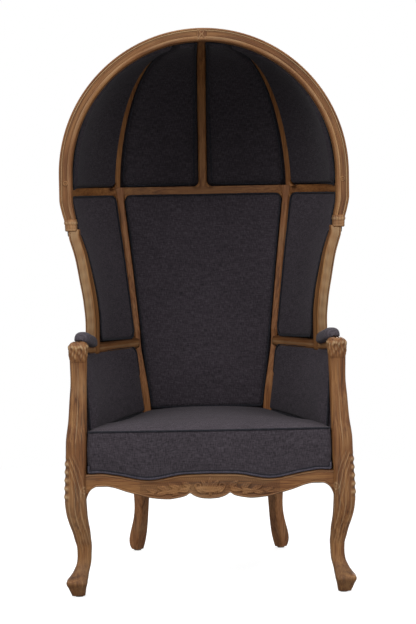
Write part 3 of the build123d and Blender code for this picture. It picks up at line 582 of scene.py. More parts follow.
mouldValues = {
    "width": 36, "stileWidth": 31, "depth": 47, "corner": 6.0, "ripple": 0.06, "widens": 60, "archSteps": 121,
    "stileFoot": 646, "stileInCollar": 18,
    # distance in from the outer edge, height over the front face, wear with painted light and shade: 1 high,
    # rubbed and painted pale, 0 deep and painted dark
    "hoop": [(0, -4.6, 0.45), (0.7, -2.4, 0.5), (2.0, -0.9, 0.5), (3.8, -0.5, 0.5), (4.8, -1.0, 0.35),
             (5.3, -2.6, 0.1), (5.9, -1.1, 0.6), (6.9, -0.2, 0.95), (7.9, -0.4, 0.95), (8.8, -1.4, 0.6),
             (9.3, -3.0, 0.1), (10.0, -2.3, 0.3), (12.5, -2.9, 0.3), (16.0, -3.1, 0.36), (19.5, -2.8, 0.3),
             (21.8, -2.1, 0.4), (22.4, -3.2, 0.05), (23.0, -1.9, 0.5), (23.8, -0.9, 0.68),
             (25.5, -0.2, 0.72), (28.5, 0.0, 0.62), (31.5, -0.5, 0.55), (33.8, -1.8, 0.5),
             (35.2, -3.6, 0.4), (36.0, -6.0, 0.3)],
    "stile": [(0, -4.6, 0.6), (0.8, -2.6, 0.75), (2.0, -1.4, 0.8), (3.4, -1.0, 0.7), (4.6, -1.4, 0.45),
              (5.4, -2.6, 0.05), (6.2, -1.0, 0.65), (7.6, -0.3, 0.95), (10.0, 0.0, 0.85), (15.0, 0.0, 0.78),
              (20.0, -0.1, 0.8), (25.0, -0.5, 0.8), (29.0, -1.2, 0.75), (32.0, -2.2, 0.65),
              (34.0, -3.8, 0.45), (35.2, -6.0, 0.2), (36.0, -9.0, 0.15)],
}


def mouldedProfile(rows):
    # closed outline, x outwards and y forwards: the front's rows, then plain sides and rounded back corners
    half, deep, corner = mouldValues["width"] / 2, mouldValues["depth"] / 2, mouldValues["corner"]
    front = stack(half - rows[:, 0], deep + rows[:, 1])
    c, s = np.cos(np.linspace(0, quarter, 5)), np.sin(np.linspace(0, quarter, 5))
    innerBack = stack(corner - half - corner * c, corner - deep - corner * s)
    outerBack = stack(half - corner + corner * s, corner - deep - corner * c)
    share = np.linspace(0.75, 0.25, 3)[:, None]
    inner = front[-1] * share + innerBack[0] * (1 - share)
    outer = outerBack[-1] * share + front[0] * (1 - share)
    outline = np.concatenate([front, inner, innerBack, outerBack, outer])
    return outline, np.concatenate([rows[:, 2], np.full(len(outline) - len(rows), 0.5)])


def moulding(name, path, side, widths, rows, nodes, flip=1):
    # P(i, j) = path(i) + side(i) x(j) w(i) + front(i) y(j): a moulded bar, side points to its outer edge
    outline, wear = mouldedProfile(np.array(rows))
    profile = outline * stack(widths / mouldValues["width"], 1)[:, None]
    # the wear, with its painted light and shade, rippled along the bar
    wave = np.sin(np.linspace(0, 61, len(path))[:, None] + wear * 7)
    wear = wear + mouldValues["ripple"] * wave
    woodPiece(name, sweep(path, side, profile, (0, -1, 0)), mouldedWood, wear, flip, nodes)


def hoopAndStiles():
    # hoop: up one side from the collar, over a half circle and down the other side
    z = np.linspace(line["collarTop"] - 2, line["hoopCentre"], 22)[:-1]
    rise = stack(*stileAt(z)[:2], z)
    bend = np.linspace(0, np.pi, mouldValues["archSteps"])
    out = stack(np.cos(bend), 0, np.sin(bend))
    arch = out * line["hoopMid"] + (0, line["hoopY"], line["hoopCentre"])
    path = np.concatenate([rise, arch, rise[::-1] * (-1, 1, 1)])
    side = np.concatenate([0 * rise + (1, 0, 0), out, 0 * rise - (1, 0, 0)])
    wide, narrow = mouldValues["width"], mouldValues["stileWidth"]
    widths = narrow + (wide - narrow) * ease(z, line["collarTop"], line["collarTop"] + mouldValues["widens"])
    widths = np.concatenate([widths, 0 * bend + wide, widths[::-1]])
    moulding("hoopMoulding", path, side, widths, mouldValues["hoop"],
             ["hoop_right", "hoop_left", "hoop_side_right", "hoop_side_left"])
    # stiles: from inside the arm rail up into the collar
    z = np.linspace(mouldValues["stileFoot"], line["collarLow"] + mouldValues["stileInCollar"], 48)
    x, y, turn = stileAt(np.minimum(z, line["collarLow"]))
    for tag, flip in sides:
        moulding("stileMoulding" + tag, stack(x, y, z), stack(np.cos(turn), np.sin(turn), 0), 0 * z + narrow,
                 mouldValues["stile"], ["hood_stile_" + tag.lower()], flip)


hoopAndStiles()

collarValues = {
    # height, how far out from the stile, pearl depth
    "rows": [(999, -1.5, 0), (1000.5, 0.2, 0), (1002.5, 0.9, 0), (1005, 0.9, 0), (1006.5, 0.2, 0),
             (1008, 0.5, 0), (1012, 0.6, 0), (1015, 0.5, 0), (1016.5, 0.1, 0), (1018, 0.8, 0.4),
             (1020.5, 1.6, 1.0), (1023, 1.7, 1.3), (1025.5, 1.3, 1.0), (1027.5, 0.5, 0.4), (1030, 0.6, 0.6),
             (1033, -0.8, 0)],
    "pearls": 18, "width": 31.5, "depth": 47.5, "corner": 5.0, "points": 156,
    # height, how far out the collar leans
    "lean": ([999, 1029], [-0.6, 1.2]),
}


def collar(tag, flip):
    # rings of a rounded rectangle, pushed out by the row and by pearls: d = out + pearl (|sin(k s)| - 0.6)
    rows = np.array(collarValues["rows"])
    base = rounded(*(collarValues[key] for key in ("width", "depth", "corner", "points")))
    pearls = np.abs(np.sin(turns(collarValues["points"]) / 2 * collarValues["pearls"]))
    push = rows[:, 1:2] + rows[:, 2:] * (pearls - 0.6)
    ring = base + ringNormal(base) * push[..., None]
    x = line["collarX"] + np.interp(rows[:, :1], *collarValues["lean"])
    grid = stack(x + ring[..., 0], line["hoopY"] + ring[..., 1], rows[:, :1])
    # wear with painted light and shade: the pearls paler where they stand out
    woodPiece("collar" + tag, grid, carvedWood, 0.56 + push * 0.13, flip)


for tag, flip in sides:
    collar(tag, flip)
print("hoop, stiles and collars made")

legValues = {
    "low": 4, "high": 660, "rings": 300, "round": 128,
    # height, how far the leg stands out from the post's middle, width
    "rows": [(4, 10.5, 36), (24, 13.0, 47.5), (40, 14.5, 57.5), (44, 13.5, 57), (52, 9.5, 52),
             (67, 3.0, 44), (91, -4.8, 39.5), (109, -6.5, 39), (131, -6.8, 40.5), (155, -3.3, 44.5),
             (176, 0.0, 48), (204, 6.5, 53), (233, 11.2, 57.5), (264, 13.3, 59), (300, 12.6, 58.5),
             (380, 9.3, 57.5), (424, 8.3, 57), (485, 4.0, 50), (539, 1.5, 47), (591, -1.0, 44),
             (644, -1.5, 46.5), (662, -1.5, 47)],
    # how square the leg is at these heights, and how strong its reeds are
    "square": ([4, 44, 60, 100, 300, 400, 640], [4.5, 5.5, 3.4, 2.7, 3.2, 3.8, 4.2]),
    "reedDepth": ([380, 470, 560, 640], [0.9, 1.0, 0.55, 0.45]),
    # heights where each carving starts, is full, starts to fade and ends
    "reeds": (372, 432, 628, 648), "lobes": (262, 272, 378, 388), "blades": (250, 280, 386, 398),
    "shin": (95, 155, 250, 300),
    "lobeFoot": 268, "lobePitch": 22.5, "curlAt": 296, "crescentAt": 46, "hollowAt": 55,
}


def band(value, low, lowFull, highFull, high):
    # 1 between lowFull and highFull, with straight ramps down to 0 at low and at high
    return ease(value, low, lowFull) * ease(value, high, highFull)


def cabrioleLeg(tag, flip):
    # rounded squares on the leg's rows. The post carries reeds, the knee lobes down its outer corner and
    # leaves that fan inwards from them, the shin fluted lines, the foot a pale crescent over its toe
    z = np.linspace(legValues["low"], legValues["high"], legValues["rings"])[:, None]
    out, width = smoothRows(legValues["rows"], z)
    angle, half = turns(legValues["round"]), width / 2
    c, s, radius = superRound(angle, np.interp(z, *legValues["square"]))

    def around(place):
        # millimetres round the leg from a place on it
        return ((angle - place + np.pi) % (2 * np.pi) - np.pi) * half

    across = around(-quarter / 2)                        # from the outer front corner
    # carving marks, each with the height and the wear, with painted highlight and shade, that it adds
    marks = []
    for place in (-quarter, 0.0):
        face = around(place)
        wave = (np.cos(face / 3.1 * np.pi + 0.5 * np.sin(z / 37.0)) * 0.7
                + np.cos(face / 7.3 * np.pi + 0.4 * np.sin(z / 51.0)) * 0.45)
        strength = band(z, *legValues["reeds"]) * ridge(face, 25) * np.interp(z, *legValues["reedDepth"])
        marks.append((strength * wave, 0.55, 0.34))
    pitch = legValues["lobePitch"] / 2
    lobe = ridge((z - legValues["lobeFoot"]) % legValues["lobePitch"] - pitch, pitch)
    corner = ridge(across - 4, 17)
    knee = band(z, *legValues["lobes"]) * corner
    blade = across + (390 - z) * 0.30
    fan = band(z, *legValues["blades"]) * ridge(blade + 6, 34) * (1 - 0.8 * corner)
    veins = (np.sin(blade * 0.62 + 1.6 * np.sin((z - 300) * 0.045)) * 0.6
             + np.sin(blade * 1.5 - 2.0 * np.sin(z * 0.035)) * 0.4)
    flutes = np.sin(across * 0.85 + (z - 200) * 0.02) * 0.6 + np.sin(across * 0.43 - z * 0.013 + 1.0) * 0.4
    curl = np.hypot(around(-1.5 * quarter) + 1, (z - legValues["curlAt"]) * 0.9)
    crescent = ridge(z - legValues["crescentAt"] - 0.010 * across ** 2, 3.0) * ridge(across, 30)
    hollow = ridge(z - legValues["hollowAt"] - 0.012 * across ** 2, 6) * ridge(across, 26)
    marks += [(knee * lobe, 4.4, 1.2), (knee, -1.0, -0.6), (fan, 1.0, 0), (fan * veins, 1.2, 0.42),
              (band(z, *legValues["shin"]) * flutes, 0.6, 0.30),
              (ridge(curl - 8, 3.2) + ridge(curl, 3.5), 1.5, 0.35), (crescent, 1.0, 0.6), (hollow, -1.2, -0.35)]
    reach = half * radius + sum(mark * high for mark, high, _ in marks)
    # the foot painted darker below 120 mm: painted shade, as the light falls from above
    wear = 0.5 - 0.26 * ease(z, 120, 60) + sum(mark * rub for mark, _, rub in marks)
    grid = stack(line["postX"] + out + reach * c, line["postY"] - out + reach * s, z)
    woodPiece("frontLeg" + tag, grid, carvedWood, wear, flip, [snake("frontLeg" + tag)])


for tag, flip in sides:
    cabrioleLeg(tag, flip)
print("front legs carved")

apronValues = {
    "half": 345, "reach": 355, "depth": 71, "face": -346, "bow": 8, "thick": 24, "columns": 461, "rows": 56,
    "carve": 3.4, "ground": 1.2, "groundEnd": 192,
    # share of the reach, share of the depth under the rail's top
    "top": [(0.00, 0.02), (0.19, 0.04), (0.47, 0.24), (0.72, 0.03), (0.85, -0.05), (1.00, 0.00)],
    "low": [(0.00, 1.00), (0.05, 0.985), (0.085, 0.95), (0.125, 0.87), (0.155, 0.78), (0.18, 0.86),
            (0.20, 0.90), (0.26, 0.965), (0.32, 1.00), (0.44, 0.95), (0.54, 0.83), (0.64, 0.69),
            (0.75, 0.51), (0.82, 0.46), (0.87, 0.475), (0.905, 0.55), (0.93, 0.68), (0.948, 0.88),
            (0.96, 1.10), (1.00, 1.30)],
    # edge beads and the grooves beside them: distance in, half width, height and wear with painted light and
    # shade
    "lowBeads": [(3.4, 2.6, 1.8, 0.3), (6.6, 1.2, -1.0, -0.4)],
    "topBeads": [(4.6, 2.2, 1.4, 0.3), (7.6, 1.2, -0.9, -0.35)],
    # leaves: root x and z, length, width and turn in degrees
    "shell": [*((0, 291, 36, 8.5, turn) for turn in (90, 48, 132, 12, 168)),
              *((0, 301, 27, 8.0, turn) for turn in (-90, -48, -132))],
    "shellSide": (20, 283, 26, 6.5, 90 - np.degrees(0.9)),
    "spray": [(52, 300, 30, 7.6, 30), (54, 294, 34, 8.0, -8), (56, 288, 26, 6.5, -40),
              (84, 296, 32, 7.6, 24), (86, 290, 36, 8.0, -8), (88, 284, 24, 6.0, -34),
              (114, 291, 32, 7.0, 20), (118, 286, 34, 6.6, -10), (146, 288, 30, 6.0, 16),
              (150, 284, 32, 5.4, -8)],
    # scrolls: middle x and z, radius, half width and height
    "shellScroll": (33, 303, 7, 3.6, 0.9), "pearl": (0, 298, 0, 8, 1.1),
    "scrolls": [(64, 303, 7.5, 3.2, 0.95), (97, 300, 6.5, 3.2, 0.95), (128, 297, 5.5, 3.2, 0.95)],
}


def apronEdge(rows, x):
    # height of an edge at x: the rail's top less the depth times what the rows give at |x| / reach
    return line["railTop"] - apronValues["depth"] * smoothRows(rows, np.abs(x) / apronValues["reach"])[0]


def leaf(x, z, rootX, rootZ, length, width, turn):
    # one leaf: an ellipse that narrows to its tip, raised in the middle with a vein down it
    c, s = np.cos(np.radians(turn)), np.sin(np.radians(turn))
    a, b = (x - rootX) * c + (z - rootZ) * s, -(x - rootX) * s + (z - rootZ) * c
    t = np.clip(a / length, 0, 1)
    half = width * np.sqrt(t * (1 - t)) * 2 * (1.15 - 0.5 * t)
    inside = ease(half - np.abs(b), 0, 1.4) * (a > 0) * (a < length)
    return inside * (0.75 + 0.35 * np.sin(np.pi * t)) * (1 - 0.35 * ridge(b, 1.2))


def scroll(x, z, middleX, middleZ, radius, width, high):
    # a ring of relief: a ridge of this width along the circle of this radius
    return ridge(np.abs(np.hypot(x - middleX, z - middleZ) - radius), width) * high


def highest(kind, x, z, *rows):
    # the highest of several reliefs of one kind, one for each row
    return np.maximum.reduce([kind(x, z, *row) for row in rows])


def carvedApron():
    # y(x, t) = bowed face - relief; t runs from the lower to the upper serpentine edge. Relief: a shell in the
    # middle, a spray of leaves and scrolls each side, gouge marks over the sunk ground, beads along the edges
    x = np.linspace(-apronValues["half"], apronValues["half"], apronValues["columns"])[:, None]
    away = np.abs(x)
    low, top = apronEdge(apronValues["low"], x), apronEdge(apronValues["top"], x)
    z = low + (top - low) * np.linspace(0, 1, apronValues["rows"])
    up, down = z - low, top - z
    edge = np.minimum(up, down)
    beads = [(ridge(up - place, width), high, rub) for place, width, high, rub in apronValues["lowBeads"]]
    beads += [(ridge(down - place, width), high, rub) for place, width, high, rub in apronValues["topBeads"]]
    shell = np.maximum(highest(leaf, x, z, *apronValues["shell"]), leaf(away, z, *apronValues["shellSide"]))
    shell = np.maximum(shell, highest(scroll, away, z, apronValues["shellScroll"], apronValues["pearl"]))
    spray = highest(leaf, away, z, *apronValues["spray"])
    spray = np.maximum(spray, highest(scroll, away, z, *apronValues["scrolls"]))
    carve = np.maximum(shell * 1.15, spray)
    ground = apronValues["ground"] * ease(away, apronValues["groundEnd"], apronValues["groundEnd"] - 12)
    clear = ease(edge, 7.5, 10.5)
    end = apronValues["groundEnd"]
    gouge = (np.sin(x * 1.15 + 2.2 * np.sin(z * 0.31)) * np.sin(z * 0.95 + 1.7 * np.sin(x * 0.13))
             * ease(away, end + 4, end - 10))
    relief = sum(bead * high for bead, high, _ in beads) - 3.0 * ease(edge, 2.2, 0) ** 2
    relief += clear * (gouge * 0.35 + carve * apronValues["carve"] - ground)
    # wear with painted light and shade: the beads pale, the grooves dark
    wear = 0.44 + sum(bead * rub for bead, _, rub in beads)
    # painted shade along the outlines of the carving
    shade = 0.34 * ridge(carve - 0.12, 0.30) * (away < end)
    wear += clear * (gouge * 0.20 + np.clip(carve, 0, 1.1) * 0.10 - shade)
    face = apronValues["face"] - apronValues["bow"] * (1 - (x / apronValues["reach"]) ** 2) - relief
    back = stack(x, apronValues["face"] + apronValues["thick"], z)[:, ::-4]
    grid = np.concatenate([stack(x, face, z), back], 1)
    wear = np.concatenate([wear, np.full(back.shape[:2], 0.5)], 1)
    around = np.concatenate([up, up.max() + 25 + down[:, ::-4]], 1)
    around = np.concatenate([around, around[:, -1:] + 25], 1)
    woodPiece("carvedApron", grid, carvedAcross, wear, 1, ["front_seat_rail"], stack(around, x) * mm)


carvedApron()
print("apron carved")

armValues = {
    "width": 38, "height": 31, "square": 3.4, "from": 0.04, "to": 0.985, "rings": 70, "round": 48,
    "block": (353.6, -317), "blockWidth": 47.5, "blockDepth": 54, "blockCorner": 10, "blockPoints": 176,
    "blockFoot": 640, "blockTop": 700.5, "tipsAt": 684, "leafWidth": 12.0,
    # height of the block's ring, how far out, how strong its leaves are
    "blockRows": [(640, -7.0, 0), (646, -3.0, 0.1), (651, -0.8, 0.35), (657, 0.5, 0.7), (664, 1.3, 1),
                  (673, 1.9, 1), (682, 2.2, 1), (689, 1.6, 0.9), (694, -0.8, 0.6), (697.5, -4.5, 0.4),
                  (699.5, -10.0, 0.25), (700.5, -19.0, 0.1)],
}


def armSweep(tag, flip):
    # rounded bar along the arm's parabola
    path = armAt(np.linspace(armValues["from"], armValues["to"], armValues["rings"]))
    angle = turns(armValues["round"])
    c, s, radius = superRound(angle, armValues["square"])
    profile = stack(armValues["width"] / 2 * radius * c, armValues["height"] / 2 * radius * s)
    # wear with painted light and shade: paler on the rail's faces, darker at its corners
    wear = np.tile(0.42 + 0.3 * np.cos(4 * angle), (armValues["rings"], 1))
    grid = sweep(path, armSide(path), profile, (0, 0, 1))
    woodPiece("armRail" + tag, grid, mouldedWood, wear, flip, [snake("armRail" + tag)])


def armBlock(tag, flip):
    # swelling block on the post, rounded over its top: lobed and veined leaves stand on its front and sides
    # its rings lie closer together where it rounds over
    z = [np.linspace(armValues["blockFoot"], 690, 50), np.linspace(691, armValues["blockTop"], 20)]
    z = np.concatenate(z)[:, None]
    out, strength = smoothRows(armValues["blockRows"], z)
    base = rounded(*(armValues[key] for key in ("blockWidth", "blockDepth", "blockCorner", "blockPoints")))
    around = running(base)
    lobes = np.abs(np.cos(around / armValues["leafWidth"] * quarter * 1.02))
    tips = ridge(z - armValues["tipsAt"] - 4 * lobes, 8) * lobes
    veins = np.sin(around * 0.75 + np.sin(z * 0.16) * 1.6) * 0.5 + np.sin(around * 0.31 - z * 0.23) * 0.5
    push = out + strength * (tips * 2.6 + veins * 1.3 - 0.6)
    ring = base + ringNormal(base) * push[..., None] + armValues["block"]
    # wear with painted light and shade: the leaf tips and veins paler
    wear = 0.46 + strength * (veins * 0.38 + tips * 0.6 + 0.04)
    woodPiece("armBlock" + tag, stack(ring[..., 0], ring[..., 1], z), carvedWood, wear, flip)


for tag, flip in sides:
    armSweep(tag, flip)
    armBlock(tag, flip)
print("arms made")

# Upholstery

padKind = {
    # how far outwards of its surface a panel's crown, back face and edge lie, and how wide its rolled edge is;
    # the piping: how far in from the outline and how far from the edge's face towards the back
    "crown": -15, "back": 20, "edge": -3, "roll": 15.0, "weltIn": 4.6, "weltSunk": 0.5, "weltRadius": 3.0,
    "fill": 0.7, "slot": "pad_fabric", "columns": 44, "rows": 56,
}
coverKind = {
    **padKind, "crown": 29, "back": 19, "edge": 25, "fill": 0.3, "slot": "cover_fabric",
    "columns": 30, "rows": 40,
}


def swell(distance, reach):
    # rises from 0 at the outline to 1 at the reach, steep at first: 1 - (1 - d / reach)^2
    return 1 - (1 - ease(distance, 0, reach)) ** 2


def edgeSpacing(count):
    # closer together near both ends: u = (1 - cos(pi s)) / 2, mixed with even steps
    s = np.linspace(0, 1, count)
    return 0.55 * (1 - np.cos(np.pi * s)) / 2 + 0.45 * s


def outlineGap(u, v, widths, heights, corners):
    # distance in from a rounded rectangle: corners are the radii low left, low right, high right, high left
    a, b = (u - 0.5) * widths, (v - 0.5) * heights
    radius = np.where(b < 0, np.where(a < 0, corners[0], corners[1]), np.where(a < 0, corners[3], corners[2]))
    qa, qb = np.abs(a) - widths / 2 + radius, np.abs(b) - heights / 2 + radius
    return radius - np.hypot(np.maximum(qa, 0), np.maximum(qb, 0)) - np.minimum(np.maximum(qa, qb), 0)


def pipingLine(width, height, inset, corners, count=240):
    # u and v along that outline, drawn in by the inset
    half = np.array([width / 2 - inset, height / 2 - inset])
    angle = np.linspace(0, quarter, 9)
    parts = []
    for index, right, up in ((1, 1, -1), (2, 1, 1), (3, -1, 1), (0, -1, -1)):
        radius = max(corners[index] - inset * 0.3, 1.0)
        part = (half - radius + radius * stack(np.cos(angle), np.sin(angle))) * (right, up)
        parts.append(part if right == up else part[::-1])
    ring = resample(np.concatenate([*parts, parts[0][:1]]), count + 1)[:-1]
    return ring.T / [[width], [height]] + 0.5


def ringPiece(name, grid, material, slot):
    # a tube whose last ring joins its first
    middle = grid.mean(1)
    along = running(np.concatenate([middle, middle[:1]]))
    size = np.linalg.norm(grid[0, 0] - grid[0, grid.shape[1] // 2])
    uv = stack(np.linspace(0, 1, grid.shape[1] + 1) * size * np.pi, along[:, None])
    gridPiece(name, grid, material, slot, uv, caps="ring")


def panelPad(name, values, flip=1):
    # front face place(u, v, d(e)), e the distance in from the rounded outline:
    # d = back + (edge - back) sqrt(swell(e, roll)) + (crown - edge) swell(e, reach), with reach half the panel's
    # size; the back face lies 2 mm behind it at the edge
    place, back, edge, corners = (values[key] for key in ("place", "back", "edge", "corners"))
    u, v = np.meshgrid(edgeSpacing(values["columns"]), edgeSpacing(values["rows"]))
    face = place(u, v, 0)
    across, upwards = running(face), running(face.swapaxes(0, 1)).T
    widths, heights = across[:, -1:], upwards[-1:]
    gap = outlineGap(u, v, widths, heights, corners)
    dome = swell(gap, 0.5 * np.minimum(widths.min(), heights.min()))
    depth = back + (edge - back) * np.sqrt(swell(gap, values["roll"])) + (values["crown"] - edge) * dome
    behind = place(u, v, back + np.sign(back - edge) * 2.0)
    grid = np.concatenate([place(u, v, depth), behind[:, ::-1]], 1) * (flip, 1, 1)
    flat = stack(across, upwards)
    uv = np.concatenate([flat, flat[:, ::-1], flat[:, :1]], 1) * mm
    piece = gridPiece(name, grid * mm, values["cloth"], values["slot"], uv, caps="fold")
    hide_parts(snake(name))
    # piping just inside the outline
    ringU, ringV = pipingLine(widths.mean(), heights.mean(), values["weltIn"], corners)
    deep = edge + np.sign(back - edge) * values["weltSunk"]
    path = place(ringU, ringV, deep) * (flip, 1, 1) * mm
    above = place(ringU, ringV, deep + 5.0) * (flip, 1, 1) * mm
    tube = sweep(path, above - path, roundProfile(values["weltRadius"] * mm, 8), closed=True)
    ringPiece(name + "Welt", tube, weltCloth, "cover_fabric")


# The surfaces that the panels lie on. A cover lies on its pad's surface, a little larger: tuck is how far it
# reaches under the rib, the other values move its edges

def hoodBack(u, v, offset, start=0.030, tuck=0.8):
    # between the centre rib and the side rib, v from the cross rail up to the hoop
    angle = (1 - v) * (quarter - start)
    first = turnAt(angle, line["centreRib"] - tuck)
    last = turnAt(angle, ribX(angle) - ribEdge(angle) + tuck)
    return domePoint(angle, first + (last - first) * u, offset)


def hoodFront(u, v, offset, start=11.5, tuck=0.8):
    # between the side rib and the hood's lower edge, which lies start over the cross rail's line
    level = turnAt(quarter, line["ribFoot"] + line["ribHalf"] - tuck) * (1 - u) + 0.02 * u
    radius = np.maximum(domePoint(quarter, level, 0)[..., 1] - line["domeFront"], 22.0)
    angle = (1 - v) * (quarter - np.arcsin(start / radius))
    first = turnAt(angle, ribX(angle) + ribEdge(angle) - tuck)
    last = np.arcsin(np.clip((14 / archReach(angle)) ** (archPower(angle) / 2), 0, 1))
    return domePoint(angle, first + (last - first) * u, offset)


def armTopAt(share):
    # top of the arm rail under the wing, share from the stile to the upright
    path = armAt(np.linspace(0.05, 1, 60))
    front = stileAt(np.array(700.0))[1] + mouldValues["depth"] / 2
    y = front + (path[-1, 1] - front) * np.clip(share, 0, 1)
    return np.interp(y, path[:, 1], path[:, 2]) + armValues["height"] / 2


def wingPlace(u, v, offset, reach=1.0, lift=1):
    # bowed chord between the stile's back inner edge and the upright's front edge, on level sections: the bow
    # is a parabola, and its depth grows with the height
    share = -0.012 + u * reach
    floorZ = armTopAt(share) - 4 + lift * (9 - 8 * u)
    z = floorZ + (line["crossLow"] + 2 - floorZ) * v
    x, y, turn = stileAt(z)
    wide, deep = mouldValues["stileWidth"] / 2, mouldValues["depth"] / 2
    fromX = x - wide * np.cos(turn) - deep * np.sin(turn)
    fromY = y - wide * np.sin(turn) + deep * np.cos(turn)
    toX, toY = uprightEdge(z, 1)
    chordX, chordY = toX - fromX, toY - fromY
    size = np.hypot(chordX, chordY)
    outX, outY = chordY / size, -chordX / size
    bulge = 4 * (12 + 32 * (z - line["stileLow"]) / (line["crossRail"] - line["stileLow"]))
    bow, slope = bulge * share * (1 - share), bulge * (1 - 2 * share)
    alongX, alongY = chordX + outX * slope, chordY + outY * slope
    size = np.hypot(alongX, alongY)
    return stack(fromX + chordX * share + outX * bow + alongY / size * offset,
                 fromY + chordY * share + outY * bow - alongX / size * offset, z)


def backPlace(u, v, offset, low=452, over=2.0):
    # hollow between the uprights' inner front edges
    z = low + (line["crossLow"] + 2 - low) * v
    edgeX, edgeY = uprightEdge(z, -1)
    hollow = 4 + 54 * (z - line["railTop"]) / (line["crossRail"] - line["railTop"])
    return stack((edgeX + over) * (2 * u - 1), edgeY + hollow * (1 - np.abs(2 * u - 1) ** 3) + offset, z)


def sidePlace(u, v, offset, base=440, squeeze=0.38, reach=0.905, lift=9):
    # ruled surface from the side seat rail up to the arm rail; the padding thins towards the rail by squeeze
    share = 0.052 + reach * u
    railFront = np.array([line["postX"], line["postY"]])
    railWay = np.array([line["uprightX"], line["uprightY"]]) * line["sideRailEnd"] - railFront
    high = armAt(share)
    top = high[..., 2] - 13.5 + lift * np.clip(share / 0.4, 0, 1) ** 0.7
    z = base + (top - base) * v
    rise = ((z - line["railTop"]) / (line["stileLow"] - line["railTop"]))[..., None]
    place = (railFront + railWay * share[..., None]) * (1 - rise) + high[..., :2] * rise
    along = unit(railWay) * (1 - rise) + unit((armAt(share + 0.01) - high)[..., :2]) * rise
    place += unit(stack(along[..., 1], -along[..., 0])) * (offset * (1 - squeeze * v))[..., None]
    return stack(place[..., 0], place[..., 1], z)


# The pads' surfaces again, with the covers' larger reach

def hoodBackCover(u, v, offset):
    return hoodBack(u, v, offset, 0.019, 4.5)


def hoodFrontCover(u, v, offset):
    return hoodFront(u, v, offset, 0, 4.5)


def wingCover(u, v, offset):
    return wingPlace(u, v, offset, 1.055, 0)


def sideCover(u, v, offset):
    return sidePlace(u, v, offset, line["railTop"] - 3, 0, 0.93, 0)


def backCover(u, v, offset):
    return backPlace(u, v, offset, line["railTop"] - 3, 9.0)


pairedPanels = {
    "hoodPadBack": {**padKind, "place": hoodBack, "cloth": linenHood, "corners": (14, 22, 6, 6)},
    "hoodPadFront": {**padKind, "place": hoodFront, "cloth": linenHood, "corners": (20, 10, 6, 6)},
    "wingPad": {**padKind, "place": wingPlace, "cloth": linen, "corners": (36, 32, 17, 17)},
    "sidePad": {**padKind, "place": sidePlace, "cloth": linen, "corners": (6, 10, 30, 12),
                "crown": -46, "back": 3, "edge": -26, "weltIn": 3.0, "weltSunk": 2},
    "hoodCoverBack": {**coverKind, "place": hoodBackCover, "cloth": linenHood, "corners": (12, 12, 6, 6)},
    "hoodCoverFront": {**coverKind, "place": hoodFrontCover, "cloth": linenHood, "corners": (12, 12, 6, 6)},
    "wingCover": {**coverKind, "place": wingCover, "cloth": linenCover, "corners": (12, 12, 8, 8)},
    "armCover": {**coverKind, "place": sideCover, "cloth": linenCover, "corners": (4, 4, 4, 4),
                 "crown": 10, "back": 2, "edge": 7, "rows": 30},
}
backPanels = {
    "backCover": {**coverKind, "place": backCover, "cloth": linenCover, "corners": (3, 3, 8, 8),
                  "crown": 28, "edge": 26, "roll": 4, "columns": 44, "rows": 70},
    "backPad": {**padKind, "place": backPlace, "cloth": linen, "corners": (6, 6, 16, 16),
                "crown": -16, "edge": -2, "fill": 0.8, "rows": 80},
}
for tag, flip in sides:
    for name, values in pairedPanels.items():
        panelPad(name + tag, values, flip)
for name, values in backPanels.items():
    panelPad(name, values)
print("panels padded")

seatValues = {
    "half": 330, "front": -348, "bow": 8, "bowReach": 345, "notch": -285, "backHalf": 186, "piping": 455,
    "base": 342.0, "columns": 141, "bandSteps": 26, "belly": 5.0, "waist": 3.5, "crown": 2.6,
    # y, then the height of the top along its sides and along its middle, both read off the photograph
    "sideLine": ([-358, -345, -310, -270, -200, -100, 0, 190], [455, 457, 458.5, 458.5, 457.5, 449, 444, 446]),
    "midLine": ([-358, -345, -320, -270, -200, -100, 60, 140, 190],
                [455, 458.5, 464, 469, 472, 471.5, 469, 464, 457]),
    "pipingRadius": 2.7, "weltSteps": 220,
    # the double band: height over the rail, radius
    "bands": [("A", 3.6, 3.0, bandCloth), ("B", 8.2, 1.8, weltCloth)],
}


def seatWelt(name, path, side, radius, cloth):
    # round piping along a path
    tube = sweep(path * mm, np.tile(side, (len(path), 1)), roundProfile(radius * mm, 10))
    gridPiece(name, tube, cloth, "cover_fabric")


